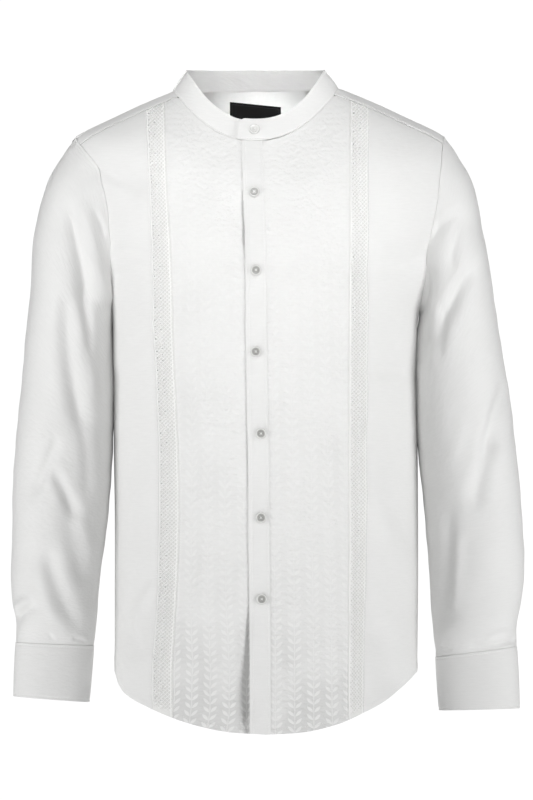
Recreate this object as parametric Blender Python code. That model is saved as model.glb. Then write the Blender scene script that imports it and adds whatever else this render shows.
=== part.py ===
# Koko shirt: a white long-sleeved shirt with a stand collar, buttoned to the neck, worn by nobody.
# Every cloth piece is an open sheet of points on the shirt's own surface, thickened by Solidify.
# Sizes are in millimetres and become metres where a mesh is made. +X is the wearer's left,
# the front faces -Y, and the origin lies between the shoulders, level with the collar seam.

import math

import bmesh
import bpy
import numpy as np
from mathutils import Matrix, Vector

MM = 0.001
CLOTH = 1.2
LACE = 1.6
PLACKET_CLOTH = 1.8
BAND_CLOTH = 2.0
CUFF_CLOTH = 2.4
SEAM = 0.4  # between the edges of two pieces that are sewn together

ROWS = 26  # from the shoulder to the hem
SIDE_COLUMNS = 6
TAPE_COLUMNS = 2
CENTRE_COLUMNS = 8
BACK_COLUMNS = 18
BACK_ROWS = 22
SLEEVE_RINGS = 23
SLEEVE_SEGMENTS = 26
BAND_SEGMENTS = 50
CUFF_SEGMENTS = 32
BUTTON_SEGMENTS = 14

# The body's section at each height: its side edges, and how far it reaches forward and back.
# Above the armpit the edges are those of the uncut form, which the armholes then cut back.
BODY_COLUMNS = ("height", "right_edge", "left_edge", "front", "back")
BODY = (
    (40, -262, 262, 72, 82),
    (-10, -252, 254, 90, 100),
    (-56, -246, 246, 104, 110),
    (-91, -221, 240, 112, 116),
    (-134, -204, 231.7, 118, 119),
    (-169, -196, 220.5, 122, 120),
    (-198, -190, 213.6, 123, 119),
    (-225, -184.8, 204.8, 124, 118),
    (-245, -180, 196, 124, 116),
    (-262, -176.5, 189, 124, 115),
    (-300, -174.5, 186, 122, 111),
    (-350, -173.7, 185.6, 119, 106),
    (-420, -173.2, 186.6, 116, 100),
    (-500, -172, 187.2, 114, 98),
    (-600, -172, 187.2, 115, 102),
    (-690, -172, 186.2, 117, 106),
    (-780, -172, 186.2, 119, 108),
)
SQUARENESS = 0.85  # under 1 fills out the corners of the body's oval section

# The shoulder line, by distance from the middle, and how far below it the cloth has rolled over.
RIDGE_COLUMNS = ("across", "height", "roll")
RIDGE = (
    (0, 14, 210),
    (60, 9, 190),
    (98, 2, 155),
    (112, -3.5, 142),
    (130, -11, 130),
    (145, -17.5, 120),
    (165, -27, 112),
    (180, -34, 108),
    (197, -42, 104),
    (210, -48.5, 100),
    (222, -56, 98),
    (240, -67.5, 96),
    (270, -90, 96),
)

ARMPIT = -262
ARMHOLE_TOP = -53
ARMHOLE_SWING = 28  # degrees that the armhole cuts in from the side
ARMHOLE_ROUNDNESS = 2.4

# The neckline, on which the collar band stands.
NECK_MIDDLE = -5.3
NECK_HALF_WIDTH = 98
NECK_SIDE_HEIGHT = 2
NECK_DROP = 62.5
NECK_POWER = 2.2
NECK_BACK_SAG = 12.5

BAND_HALF_WIDTH = 81.5
BAND_TOP = 25.5
BAND_DROP = 60.5
BAND_POWER = 2.4
BAND_LEAN = 0.8
BAND_OVER_END = -13  # degrees round the neck from the middle front
BAND_UNDER_END = 366
BAND_LIFT = 2.8
BAND_STAND = 1.3  # the band's lower edge, above the neckline
BAND_CORNER = 9

YOKE_FRONT_DROP = 9.5
YOKE_BACK_SEAM = -92

# The hem curves up from its middle to the side seams: the share of its rise on each side, by
# the sine of the angle round the body.
HEM_FRONT = {"middle": -759.5, "rise": 73}
HEM_BACK = {"middle": -753, "rise": 66.5}
HEM_COLUMNS = ("sine", "right", "left")
HEM = (
    (0, 0, 0),
    (0.3, 0.06, 0.06),
    (0.52, 0.188, 0.21),
    (0.65, 0.295, 0.355),
    (0.75, 0.4, 0.48),
    (0.83, 0.495, 0.61),
    (0.9, 0.59, 0.755),
    (0.95, 0.69, 0.88),
    (0.98, 0.82, 0.955),
    (1, 1, 1),
)

PLACKET_WIDTH = 25
PLACKET_LIFT = 2.6
PLACKET_COLUMNS = ("height", "middle")
PLACKET = (
    (0, -9.5),
    (-61, -9),
    (-118, -7.4),
    (-189, -4.8),
    (-248, -4.4),
    (-366, -3),
    (-425, -1.6),
    (-519, -1.2),
    (-602, 0),
    (-770, 0.6),
)
UNDER_EDGE = 3  # how far a front reaches in under the placket

TAPE_KEYS = ("height", "right_outer", "right_inner", "left_inner", "left_outer")
TAPE = (
    (0, -136, -112.5, 106, 129),
    (-60, -133, -111, 105.5, 127.5),
    (-118, -130, -109, 105, 127),
    (-189, -127.4, -104.2, 105, 127.4),
    (-248, -126.3, -102.7, 104.2, 127),
    (-307, -124.4, -100.9, 104, 126.6),
    (-366, -121.5, -98.5, 103.6, 126),
    (-425, -119.4, -95.8, 103.8, 125),
    (-572, -121, -96.4, 104, 124),
    (-625, -123.4, -99.2, 104, 123),
    (-673, -126.2, -101.4, 104, 122),
    (-770, -126.7, -102.3, 104, 121.5),
)

# A sleeve's section from the armhole to the cuff: its outer and inner points, half its depth
# from front to back, and how far its middle lies behind the shoulder line.
SLEEVE_COLUMNS = ("outer_x", "outer_z", "inner_x", "inner_z", "half_depth", "middle_y")
SLEEVES = {
    "left": (
        (217, -53, 189, -262, 60, 0),
        (234, -76, 190.7, -276, 64, 1),
        (252, -113, 190.8, -298, 69, 2),
        (264.5, -168, 190.3, -325, 71, 2),
        (275.5, -234, 189.8, -357, 71, 1),
        (286.5, -307, 189.8, -395, 69, -1),
        (298, -382, 192.3, -441, 65, -4),
        (306, -455, 195.9, -492, 60, -8),
        (312, -528, 199, -548, 55, -13),
        (311, -594, 202.7, -604, 49, -18),
        (304.2, -631, 205.9, -642, 43, -22),
        (303.6, -657.5, 208.3, -669.5, 33, -24),
    ),
    "right": (
        (-217, -53, -176.5, -262, 60, 0),
        (-232.5, -74, -177.8, -276, 64, 1),
        (-253.5, -111, -177.8, -298, 69, 2),
        (-267, -168, -177.4, -325, 71, 2),
        (-272, -234, -177, -357, 71, 1),
        (-278.5, -307, -176.8, -395, 69, -1),
        (-286.5, -382, -177.6, -441, 65, -4),
        (-292.5, -455, -179.8, -492, 60, -8),
        (-294.4, -528, -185.3, -546, 55, -13),
        (-294, -594, -192, -601, 49, -18),
        (-289.5, -628, -195.2, -632, 43, -22),
        (-288.7, -652.3, -197.2, -656.2, 33, -24),
    ),
}
CUFF_ENDS = {
    "left": (306.6, -730.7, 212.4, -733, 31, -27),
    "right": (-291, -716.6, -202.5, -723.3, 31, -27),
}
SLEEVE_SQUARENESS = 0.92
ARMHOLE_GAP = {"top": 0.9, "pit": 1.8}
CAP_BLEND = 0.3  # share of the sleeve's length over which the armhole's shape fades out
CUFF_OVER_END = 262  # degrees round the cuff, from its outer side by way of the front
CUFF_OVERLAP = 32
CUFF_LIFT = 2.9
SLEEVE_PLACKET = {"start": 0.745, "width": 24, "lift": 2.9, "angle": 288}

BUTTON_RADIUS = 6.5
BUTTON_THICKNESS = 2.8
BUTTON_DISH = 1.0
BUTTON_RIM = 1.7
BUTTON_GAP = 0.3
CUFF_BUTTON_RADIUS = 5.8
# From the collar down; the first sits on the band.
BUTTON_COLUMNS = ("across", "height")
BUTTONS = (
    (-6.5, -48.4),
    (-6.7, -121.4),
    (-4.6, -213.2),
    (-4.8, -308.5),
    (1.2, -405),
    (1.4, -504),
    (2.2, -600),
)

LABEL = {"middle": -5.5, "width": 61, "top": -13, "bottom": -42, "tilt": 6, "thickness": 1.0}

# Folds as seen from the front: the ends of each fold's line, its breadth and how far it stands
# out (or in, below zero).
FOLD_COLUMNS = ("x1", "z1", "x2", "z2", "breadth", "height")
FRONT_FOLDS = (
    (-213, -67, -150, -111, 16, -4.5),
    (201, -191, 131, -217, 20, -4.0),
    (-168, -196, -132, -200, 13, 2.5),
    (-130, -278, -165, -320, 18, 2.5),
    (131, -333, 170, -331, 10, -2.0),
    (-124, -574, -155, -650, 18, -3.0),
    (57, -401, 78, -555, 16, 2.5),
    (130, -484, 168, -572, 18, 2.5),
    (-27, -140, -24, -205, 16, -3.0),
    (-25, -630, -24, -722, 18, -4.0),
    (-80, -330, -45, -460, 16, 2.0),
    (140, -640, 150, -700, 14, -3.0),
)
BACK_FOLDS = (
    (-150, -120, -95, -300, 22, -4.0),
    (150, -125, 100, -310, 22, -4.0),
    (-60, -380, -110, -560, 24, 3.5),
    (70, -400, 105, -600, 24, 3.5),
    (0, -420, 8, -690, 26, -3.0),
)
SLEEVE_FRONT_FOLDS = {
    "right": (
        (-223, -143, -204, -243, 12, -6.5),
        (-204, -243, -200, -309, 14, -6.5),
        (-209, -141, -181, -243, 9, 4.5),
        (-228, -252, -210, -387, 12, -5.5),
        (-241, -421, -263, -463, 9, -4.0),
        (-237, -462, -218, -491, 9, -4.0),
        (-228, -491, -206, -570, 12, -5.0),
        (-249, -558, -218, -630, 11, -4.5),
        (-291, -625, -270, -610, 8, -5.0),
    ),
    "left": (
        (206, -165, 236, -145, 10, -4.0),
        (240, -156, 227, -209, 11, -4.0),
        (262, -191, 247, -222, 12, 5.0),
        (247, -222, 206, -299, 13, -7.0),
        (199, -217, 193, -320, 9, -5.0),
        (293, -353, 273, -414, 13, -5.5),
        (273, -414, 259, -481, 12, -4.0),
        (222, -500, 216, -620, 13, -4.0),
        (256, -661, 300, -650, 8, -4.5),
    ),
}
SLEEVE_BACK_FOLDS = (
    (233, -170, 212, -262, 13, -5.0),
    (262, -230, 222, -330, 13, -5.5),
    (285, -360, 232, -440, 14, -5.5),
    (225, -430, 285, -492, 12, 4.5),
    (228, -505, 262, -600, 13, -5.0),
)


def curve(columns, rows, key, value):
    """A smooth curve of one column of a table against another."""
    at = np.array([row[columns.index(key)] for row in rows], float)
    to = np.array([row[columns.index(value)] for row in rows], float)
    order = np.argsort(at)
    at, to = at[order], to[order]
    slope = np.gradient(to, at)

    def value_at(x):
        x = np.clip(np.asarray(x, float), at[0], at[-1])
        i = np.clip(np.searchsorted(at, x) - 1, 0, len(at) - 2)
        span = at[i + 1] - at[i]
        t = (x - at[i]) / span
        near = (1 + 2 * t) * (1 - t) ** 2 * to[i] + t * (1 - t) ** 2 * span * slope[i]
        far = t * t * (3 - 2 * t) * to[i + 1] + t * t * (t - 1) * span * slope[i + 1]
        return near + far

    return value_at


right_edge = curve(BODY_COLUMNS, BODY, "height", "right_edge")
left_edge = curve(BODY_COLUMNS, BODY, "height", "left_edge")
front_depth = curve(BODY_COLUMNS, BODY, "height", "front")
back_depth = curve(BODY_COLUMNS, BODY, "height", "back")
ridge_by_distance = curve(RIDGE_COLUMNS, RIDGE, "across", "height")
roll_by_distance = curve(RIDGE_COLUMNS, RIDGE, "across", "roll")
placket_middle = curve(PLACKET_COLUMNS, PLACKET, "height", "middle")
hem_right = curve(HEM_COLUMNS, HEM, "sine", "right")
hem_left = curve(HEM_COLUMNS, HEM, "sine", "left")
tape_edge = {
    name: curve(TAPE_KEYS, TAPE, "height", name) for name in TAPE_KEYS[1:]
}


def mix(a, b, t):
    return a + (b - a) * t


def ease(t):
    t = np.clip(t, 0, 1)
    return t * t * (3 - 2 * t)


def unit(vectors):
    return vectors / np.maximum(np.linalg.norm(vectors, axis=-1, keepdims=True), 1e-9)


def ridge(x):
    return ridge_by_distance(np.abs(x))


def fold_height(folds, x, z):
    """How far the folds move a point of the surface out."""
    total = np.zeros(np.broadcast(x, z).shape)
    for x1, z1, x2, z2, breadth, height in folds:
        run = np.array([x2 - x1, z2 - z1], float)
        t = np.clip(((x - x1) * run[0] + (z - z1) * run[1]) / (run @ run), 0, 1)
        away = np.hypot(x - x1 - t * run[0], z - z1 - t * run[1])
        total = total + height * np.exp(-((away / breadth) ** 2))
    return total


def half_width(z):
    return (left_edge(z) - right_edge(z)) / 2


def middle(z):
    return (left_edge(z) + right_edge(z)) / 2


def body_x(angle, z):
    return middle(z) + half_width(z) * np.sin(np.radians(angle))


def front_angle(x, z):
    """The angle round the body, from the middle front, of a point seen at x."""
    return np.degrees(np.arcsin(np.clip((x - middle(z)) / half_width(z), -1, 1)))


def smooth_body(angle, z):
    x = body_x(angle, z)
    facing = np.cos(np.radians(angle))
    depth = np.where(facing > 0, front_depth(z), back_depth(z))
    rolled = np.clip((ridge(x) - z) / roll_by_distance(np.abs(x)), 0, 1)
    y = -np.sign(facing) * np.abs(facing) ** SQUARENESS * depth * np.sqrt(1 - (1 - rolled) ** 2)
    return np.stack(np.broadcast_arrays(x, y, z), axis=-1)


def body(angle, z, lift=0.0):
    """Points of the body's cloth, at angles round it and at heights, moved out by lift."""
    angle, z = np.broadcast_arrays(np.asarray(angle, float), np.asarray(z, float))
    point = smooth_body(angle, z)
    x = point[..., 0]
    step = 1.0
    ahead, behind = angle + step, angle - step
    ahead_z = z + ridge(body_x(ahead, z)) - ridge(x)
    behind_z = z + ridge(body_x(behind, z)) - ridge(x)
    along = smooth_body(ahead, ahead_z) - smooth_body(behind, behind_z)
    down = smooth_body(angle, z - 2) - smooth_body(angle, np.minimum(z + 2, ridge(x)))
    normal = unit(np.cross(down, along))
    facing = np.cos(np.radians(angle))
    folds = np.where(
        facing > 0, fold_height(FRONT_FOLDS, x, z), fold_height(BACK_FOLDS, x, z)
    )
    side_fade = ease(np.abs(facing) / 0.3)
    return point + normal * (lift + folds * side_fade)[..., None]


def armhole_angle(z):
    """How far round from the middle front or back the armhole lies, at a height."""
    up = np.clip((z - ARMPIT) / (ARMHOLE_TOP - ARMPIT), 0, 1)
    return 90 - ARMHOLE_SWING * np.sqrt(1 - (1 - up) ** ARMHOLE_ROUNDNESS)


def armhole(side, turn, gap=0.0):
    """Points of the armhole's loop; turn goes from the top by way of the front, in degrees."""
    turn = np.asarray(turn, float) % 360
    facing_front = turn <= 180
    z = mix(ARMPIT, ARMHOLE_TOP, (1 + np.cos(np.radians(turn))) / 2)
    x_there = body_x(side * armhole_angle(z), z)
    z = np.where(z > ridge(x_there), ridge(x_there), z)
    front = side * armhole_angle(z)
    back = side * (180 - armhole_angle(z))
    point = body(np.where(facing_front, front, back), z)
    point[..., 0] += side * gap
    return point


def neck_height(x):
    """The neckline's height on the front, by x."""
    off = np.clip(np.abs(x - NECK_MIDDLE) / NECK_HALF_WIDTH, 0, 1)
    return NECK_SIDE_HEIGHT - NECK_DROP * (1 - off**NECK_POWER)


def neck_back_height(x):
    off = np.clip(np.abs(x - NECK_MIDDLE) / NECK_HALF_WIDTH, 0, 1)
    return ridge(x) - NECK_BACK_SAG * (1 - off**2)


def front_top(x):
    """The top edge of the front pieces: the yoke's seam, and the neckline inside it."""
    return np.minimum(ridge(x) - YOKE_FRONT_DROP, neck_height(x))


def hem(angle):
    sine = np.sin(np.radians(angle))
    risen = np.where(sine < 0, hem_right(np.abs(sine)), hem_left(np.abs(sine)))
    front = HEM_FRONT["middle"] + HEM_FRONT["rise"] * risen
    back = HEM_BACK["middle"] + HEM_BACK["rise"] * risen
    return np.where(np.cos(np.radians(angle)) > 0, front, back)


def material(name, colour, roughness):
    made = bpy.data.materials.new(name)
    made.use_nodes = True
    shader = made.node_tree.nodes["Principled BSDF"]
    shader.inputs["Base Color"].default_value = (*colour, 1)
    shader.inputs["Roughness"].default_value = roughness
    shader.inputs["Metallic"].default_value = 0
    return made


WHITE = (0.86, 0.87, 0.87)
PIECE_LOOKS = {
    "cotton": (WHITE, 0.85),
    "jacquard": ((0.88, 0.88, 0.87), 0.6),
    "lace": ((0.84, 0.84, 0.82), 0.9),
    "band": ((0.89, 0.89, 0.88), 0.8),
    "button": ((0.72, 0.72, 0.7), 0.25),
    "label": ((0.01, 0.01, 0.01), 0.6),
}


def new_object(name, points, faces, look, thickness=None):
    """A mesh object from points in millimetres; a thickness makes it a wall."""
    mesh = bpy.data.meshes.new(name)
    mesh.from_pydata((np.asarray(points) * MM).tolist(), [], faces)
    made = bpy.data.objects.new(name, mesh)
    bpy.context.scene.collection.objects.link(made)
    mesh.materials.append(material(f"{name} {look}", *PIECE_LOOKS[look]))
    mesh.shade_smooth()
    mesh.set_sharp_from_angle(angle=math.radians(45))
    if thickness:
        wall = made.modifiers.new("Wall", "SOLIDIFY")
        wall.thickness = thickness * MM
        wall.offset = 0
        wall.use_rim = True
    return made


def sheet(name, grid, look, thickness, closed=False, turned=False):
    """A wall through a grid of points, rows by columns."""
    rows, columns = grid.shape[:2]
    faces = []
    for j in range(rows - 1):
        for i in range(columns if closed else columns - 1):
            k = (i + 1) % columns
            corners = [j * columns + i, (j + 1) * columns + i]
            corners += [(j + 1) * columns + k, j * columns + k]
            faces.append(corners[::-1] if turned else corners)
    return new_object(name, grid.reshape(-1, 3), faces, look, thickness)


def front_panel(name, near, far, columns, look, thickness, lift=0.0):
    """A front piece between two edges, given as angles by height."""
    share = np.linspace(0, 1, columns + 1)
    top = np.full(columns + 1, -30.0)
    for _ in range(30):
        angle = mix(near(top), far(top), share)
        top = front_top(body_x(angle, top)) - SEAM
    bottom = np.full(columns + 1, -740.0)
    for _ in range(10):
        bottom = hem(mix(near(bottom), far(bottom), share))
    down = np.linspace(0, 1, ROWS + 1)[:, None] ** 1.3
    z = mix(top, bottom, down)
    angle = mix(near(z), far(z), share)
    return sheet(name, body(angle, z, lift), look, thickness)


def by_x(x_at, gap=0.0):
    return lambda z: front_angle(x_at(z) + gap, z)


def side_edge(side):
    """The armhole, and the side seam below it."""

    def edge(z):
        inside = np.degrees(SEAM / 2 / half_width(z))
        return side * (np.where(z > ARMPIT, armhole_angle(z), 90) - inside)

    return edge


def placket_edge(side, inside=0.0):
    """The placket's edge on one side, or a line inside it, by height."""
    return by_x(lambda z: placket_middle(z) + side * (PLACKET_WIDTH / 2 - inside))


def fronts():
    """The front pieces from the wearer's right to the left; the placket lies over the stand."""
    half = SEAM / 2
    tape = tape_edge
    cut = (
        (
            "side_front_right",
            side_edge(-1),
            by_x(tape["right_outer"], -half),
            SIDE_COLUMNS,
            "cotton",
        ),
        (
            "lace_tape_right",
            by_x(tape["right_outer"], half),
            by_x(tape["right_inner"], -half),
            TAPE_COLUMNS,
            "lace",
        ),
        (
            "centre_front_right",
            by_x(tape["right_inner"], half),
            placket_edge(-1, UNDER_EDGE - half),
            CENTRE_COLUMNS,
            "jacquard",
        ),
        (
            "button_stand",
            placket_edge(-1, UNDER_EDGE + half),
            placket_edge(1, UNDER_EDGE + half),
            TAPE_COLUMNS,
            "cotton",
        ),
        (
            "centre_front_left",
            placket_edge(1, UNDER_EDGE - half),
            by_x(tape["left_inner"], -half),
            CENTRE_COLUMNS,
            "jacquard",
        ),
        (
            "lace_tape_left",
            by_x(tape["left_inner"], half),
            by_x(tape["left_outer"], -half),
            TAPE_COLUMNS,
            "lace",
        ),
        (
            "side_front_left",
            by_x(tape["left_outer"], half),
            side_edge(1),
            SIDE_COLUMNS,
            "cotton",
        ),
    )
    for name, near, far, columns, look in cut:
        front_panel(name, near, far, columns, look, LACE if look == "lace" else CLOTH)
    front_panel(
        "placket",
        placket_edge(-1),
        placket_edge(1),
        TAPE_COLUMNS,
        "band",
        PLACKET_CLOTH,
        PLACKET_LIFT,
    )


def back_edge(side, z):
    inside = np.degrees(SEAM / 2 / half_width(z))
    cut = np.where(z > ARMPIT, armhole_angle(z), 90) - inside
    return 180 - side * cut


def back():
    share = np.linspace(0, 1, BACK_COLUMNS + 1)
    top = np.full(BACK_COLUMNS + 1, YOKE_BACK_SEAM - SEAM)
    bottom = np.full(BACK_COLUMNS + 1, -740.0)
    for _ in range(10):
        bottom = hem(mix(back_edge(1, bottom), back_edge(-1, bottom), share))
    z = mix(top, bottom, np.linspace(0, 1, BACK_ROWS + 1)[:, None])
    angle = mix(back_edge(1, z), back_edge(-1, z), share)
    sheet("back", body(angle, z), "cotton", CLOTH)


def yoke():
    """One piece over both shoulders and across the back, open at the neck."""
    middle_columns, strap_columns, back_rows, front_rows = 12, 5, 5, 3
    neck_left = NECK_MIDDLE + NECK_HALF_WIDTH + SEAM
    neck_right = NECK_MIDDLE - NECK_HALF_WIDTH - SEAM
    points, index = [], {}

    def add(key, point):
        index[key] = len(points)
        points.append(point)

    def back_point(x, z):
        return body(180 - front_angle(x, z), z)

    last = strap_columns * 2 + middle_columns
    for j in range(back_rows + 1):
        rise = 1 - (1 - j / back_rows) ** 1.7
        for i in range(last + 1):
            if i <= strap_columns:
                strap = i / strap_columns
                side, neck_x = -1, neck_right
            elif i >= last - strap_columns:
                strap = (last - i) / strap_columns
                side, neck_x = 1, neck_left
            else:
                strap = None
            if strap is None:
                x = mix(neck_right, neck_left, (i - strap_columns) / middle_columns)
                z = mix(YOKE_BACK_SEAM, float(neck_back_height(x)) - SEAM, rise)
            else:
                z = YOKE_BACK_SEAM
                for _ in range(20):
                    edge = 180 - float(back_edge(side, z))
                    x = mix(float(body_x(edge, z)), neck_x, strap)
                    z = mix(YOKE_BACK_SEAM, float(ridge(x)), rise)
            add(("back", j, i), back_point(x, z))
    for i in range(last + 1):
        if strap_columns < i < last - strap_columns:
            continue
        side = -1 if i <= strap_columns else 1
        strap = (i if side < 0 else last - i) / strap_columns
        index[("front", 0, i)] = index[("back", back_rows, i)]
        for k in range(1, front_rows + 1):
            drop = (YOKE_FRONT_DROP - SEAM) * (k / front_rows) ** 2
            z = -30.0
            for _ in range(30):
                edge = float(side_edge(side)(z))
                off = max((z - NECK_SIDE_HEIGHT) / NECK_DROP + 1, 0) ** (1 / NECK_POWER)
                neck_x = NECK_MIDDLE + side * (NECK_HALF_WIDTH * min(off, 1) + SEAM)
                x = mix(float(body_x(edge, z)), neck_x, strap)
                z = float(ridge(x)) - drop
            add(("front", k, i), body(front_angle(x, z), z))
    faces = []
    for j in range(back_rows):
        for i in range(last):
            a, b = index[("back", j, i)], index[("back", j, i + 1)]
            c, d = index[("back", j + 1, i + 1)], index[("back", j + 1, i)]
            faces.append([b, a, d, c])
    for k in range(front_rows):
        for i in list(range(strap_columns)) + list(range(last - strap_columns, last)):
            a, b = index[("front", k, i)], index[("front", k, i + 1)]
            c, d = index[("front", k + 1, i + 1)], index[("front", k + 1, i)]
            faces.append([b, a, d, c])
    new_object("yoke", points, faces, "cotton", CLOTH)


def neck_point(turn):
    """The neckline's loop; turn goes from the middle front by way of the left, in degrees."""
    sine, cosine = np.sin(np.radians(turn)), np.cos(np.radians(turn))
    x = NECK_MIDDLE + NECK_HALF_WIDTH * sine
    front = cosine > 0
    z = np.where(front, neck_height(x), neck_back_height(x))
    angle = front_angle(x, z)
    return body(np.where(front, angle, 180 - angle), z)


def band_top_point(turn):
    sine = np.sin(np.radians(turn))
    base = neck_point(turn)
    drop = np.where(np.cos(np.radians(turn)) > 0, 1 - np.abs(sine) ** BAND_POWER, 0)
    x = NECK_MIDDLE + BAND_HALF_WIDTH * sine
    return np.stack([x, base[..., 1] * BAND_LEAN, BAND_TOP - BAND_DROP * drop], axis=-1)


def strip_grid(bottom, top, height_share, lift, rows):
    """Points of a strip between two lines, each column moved out by its own lift."""
    share = np.linspace(0, 1, rows + 1)[:, None] * height_share[None, :]
    grid = mix(bottom[None], top[None], share[..., None])
    along = np.gradient(grid, axis=1)
    up = (top - bottom)[None]
    return grid, unit(np.cross(along, up + 0 * grid)), lift[None, :, None]


def band_lift(turn):
    return BAND_LIFT * ease((45 - turn) / 33)


def collar_band():
    turn = np.linspace(BAND_OVER_END, BAND_UNDER_END, BAND_SEGMENTS + 1)
    bottom, top = neck_point(turn), band_top_point(turn)
    rise = unit(top - bottom)
    bottom = bottom + rise * BAND_STAND
    from_end = np.linalg.norm(bottom - bottom[0], axis=-1)
    into = np.clip(1 - from_end / BAND_CORNER, 0, 1)
    into = np.where(turn < 90, into, 0)
    tall = 30.0
    height_share = 1 - (1 - np.sqrt(1 - into**2)) * BAND_CORNER / tall
    grid, out, lift = strip_grid(bottom, top, height_share, band_lift(turn), 3)
    sheet("collar_band", grid + out * lift, "band", BAND_CLOTH, turned=True)


def sleeve_row(side, t):
    """The sleeve's section at a share of its length, between the rows of its table."""
    rows = SLEEVES[side]
    numbered = [(i / (len(rows) - 1), *row) for i, row in enumerate(rows)]
    columns = ("share", *SLEEVE_COLUMNS)
    return [curve(columns, numbered, "share", name)(t) for name in SLEEVE_COLUMNS]


def oval(row, turn, squareness=SLEEVE_SQUARENESS):
    """Points of a sleeve's section; turn goes from its outer side by way of the front."""
    outer_x, outer_z, inner_x, inner_z, half_depth, middle_y = row
    cosine, sine = np.cos(np.radians(turn)), np.sin(np.radians(turn))
    across = np.sign(cosine) * np.abs(cosine) ** squareness
    deep = np.sign(sine) * np.abs(sine) ** squareness
    x = (outer_x + inner_x) / 2 + (outer_x - inner_x) / 2 * across
    z = (outer_z + inner_z) / 2 + (outer_z - inner_z) / 2 * across
    y = middle_y - half_depth * deep
    return np.stack(np.broadcast_arrays(x, y, z), axis=-1)


def smooth_sleeve(side, t, turn):
    sign = 1 if side == "left" else -1
    point = oval(sleeve_row(side, t), turn)
    low = (1 - np.cos(np.radians(turn))) / 2
    gap = mix(ARMHOLE_GAP["top"], ARMHOLE_GAP["pit"], low)
    shape = armhole(sign, turn, gap) - oval(sleeve_row(side, 0 * t), turn)
    fade = np.clip(1 - t / CAP_BLEND, 0, 1) ** 2
    return point + shape * fade[..., None]


def sleeve(side, t, turn, lift=0.0):
    """Points of a sleeve's cloth, moved out by lift, with its folds."""
    t, turn = np.broadcast_arrays(np.asarray(t, float), np.asarray(turn, float))
    sign = 1 if side == "left" else -1
    point = smooth_sleeve(side, t, turn)
    down = smooth_sleeve(side, np.minimum(t + 0.01, 1), turn)
    down = down - smooth_sleeve(side, np.maximum(t - 0.01, 0), turn)
    round_it = smooth_sleeve(side, t, turn + 2) - smooth_sleeve(side, t, turn - 2)
    normal = -sign * unit(np.cross(down, round_it))
    x, z = point[..., 0], point[..., 2]
    ahead = fold_height(SLEEVE_FRONT_FOLDS[side], x, z)
    behind = fold_height(SLEEVE_BACK_FOLDS, np.abs(x), z)
    facing = np.sin(np.radians(turn))
    folds = ahead * ease(facing / 0.5) + behind * ease(-facing / 0.5)
    ends = ease(t / 0.04) * ease((1 - t) / 0.03)
    return point + normal * (lift + folds * ends)[..., None]


def sleeves():
    for side in SLEEVES:
        t = np.linspace(0, 1, SLEEVE_RINGS + 1)[:, None] ** 0.9
        turn = np.linspace(0, 360, SLEEVE_SEGMENTS, endpoint=False)[None]
        grid = sleeve(side, t, turn)
        sheet(f"sleeve_{side}", grid, "cotton", CLOTH, closed=True, turned=side == "left")
        sleeve_placket(side)


def sleeve_placket(side):
    own = SLEEVE_PLACKET
    t = np.linspace(own["start"], 0.985, 8)[:, None]
    girth = 330 - 90 * (t - own["start"]) / (1 - own["start"])
    swing = own["width"] / girth * 360
    turn = own["angle"] + swing * np.linspace(-0.5, 0.5, 3)[None]
    grid = sleeve(side, t, turn, own["lift"])
    sheet(f"sleeve_placket_{side}", grid, "cotton", CLOTH, turned=side == "left")


def cuff_point(side, down, turn):
    """A point of the cuff's middle surface, from its top, 0, to its lower edge, 1."""
    top = np.array(SLEEVES[side][-1], float)
    end = np.array(CUFF_ENDS[side], float)
    length = math.dist(top[:2], end[:2])
    down = mix(SEAM * 1.5 / length, 1, down)
    row = [mix(a, b, down) for a, b in zip(top, end)]
    return oval(row, turn)


def cuff_lift(past_start):
    """The over end of the cuff stands off the under end."""
    return CUFF_LIFT * ease((CUFF_OVERLAP + 30 - past_start) / 28)


def cuffs():
    rows = 3
    for side in SLEEVES:
        sign = 1 if side == "left" else -1
        past = np.linspace(0, 360 + CUFF_OVERLAP, CUFF_SEGMENTS + 1)[None]
        turn = CUFF_OVER_END + past
        down = np.linspace(0, 1, rows + 1)[:, None]
        grid = cuff_point(side, down, turn)
        ahead = cuff_point(side, down, turn + 2) - cuff_point(side, down, turn - 2)
        fall = cuff_point(side, down + 0.1, turn) - cuff_point(side, down, turn)
        out = -sign * unit(np.cross(fall, ahead))
        grid = grid + out * cuff_lift(past)[..., None]
        sheet(f"cuff_{side}", grid, "band", CUFF_CLOTH, turned=side == "left")
        place = sleeve_button_place(side)
        button(f"cuff_button_{side}", *place, CUFF_BUTTON_RADIUS)


def sleeve_button_place(side):
    sign = 1 if side == "left" else -1
    past, down = CUFF_OVERLAP * 0.5, np.array(0.5)
    turn = CUFF_OVER_END + past
    point = cuff_point(side, down, turn)
    ahead = cuff_point(side, down, turn + 2) - cuff_point(side, down, turn - 2)
    fall = cuff_point(side, down + 0.1, turn) - point
    out = -sign * unit(np.cross(fall, ahead))
    lift = float(cuff_lift(past)) + CUFF_CLOTH / 2 + BUTTON_GAP
    return point + out * lift, out


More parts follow.
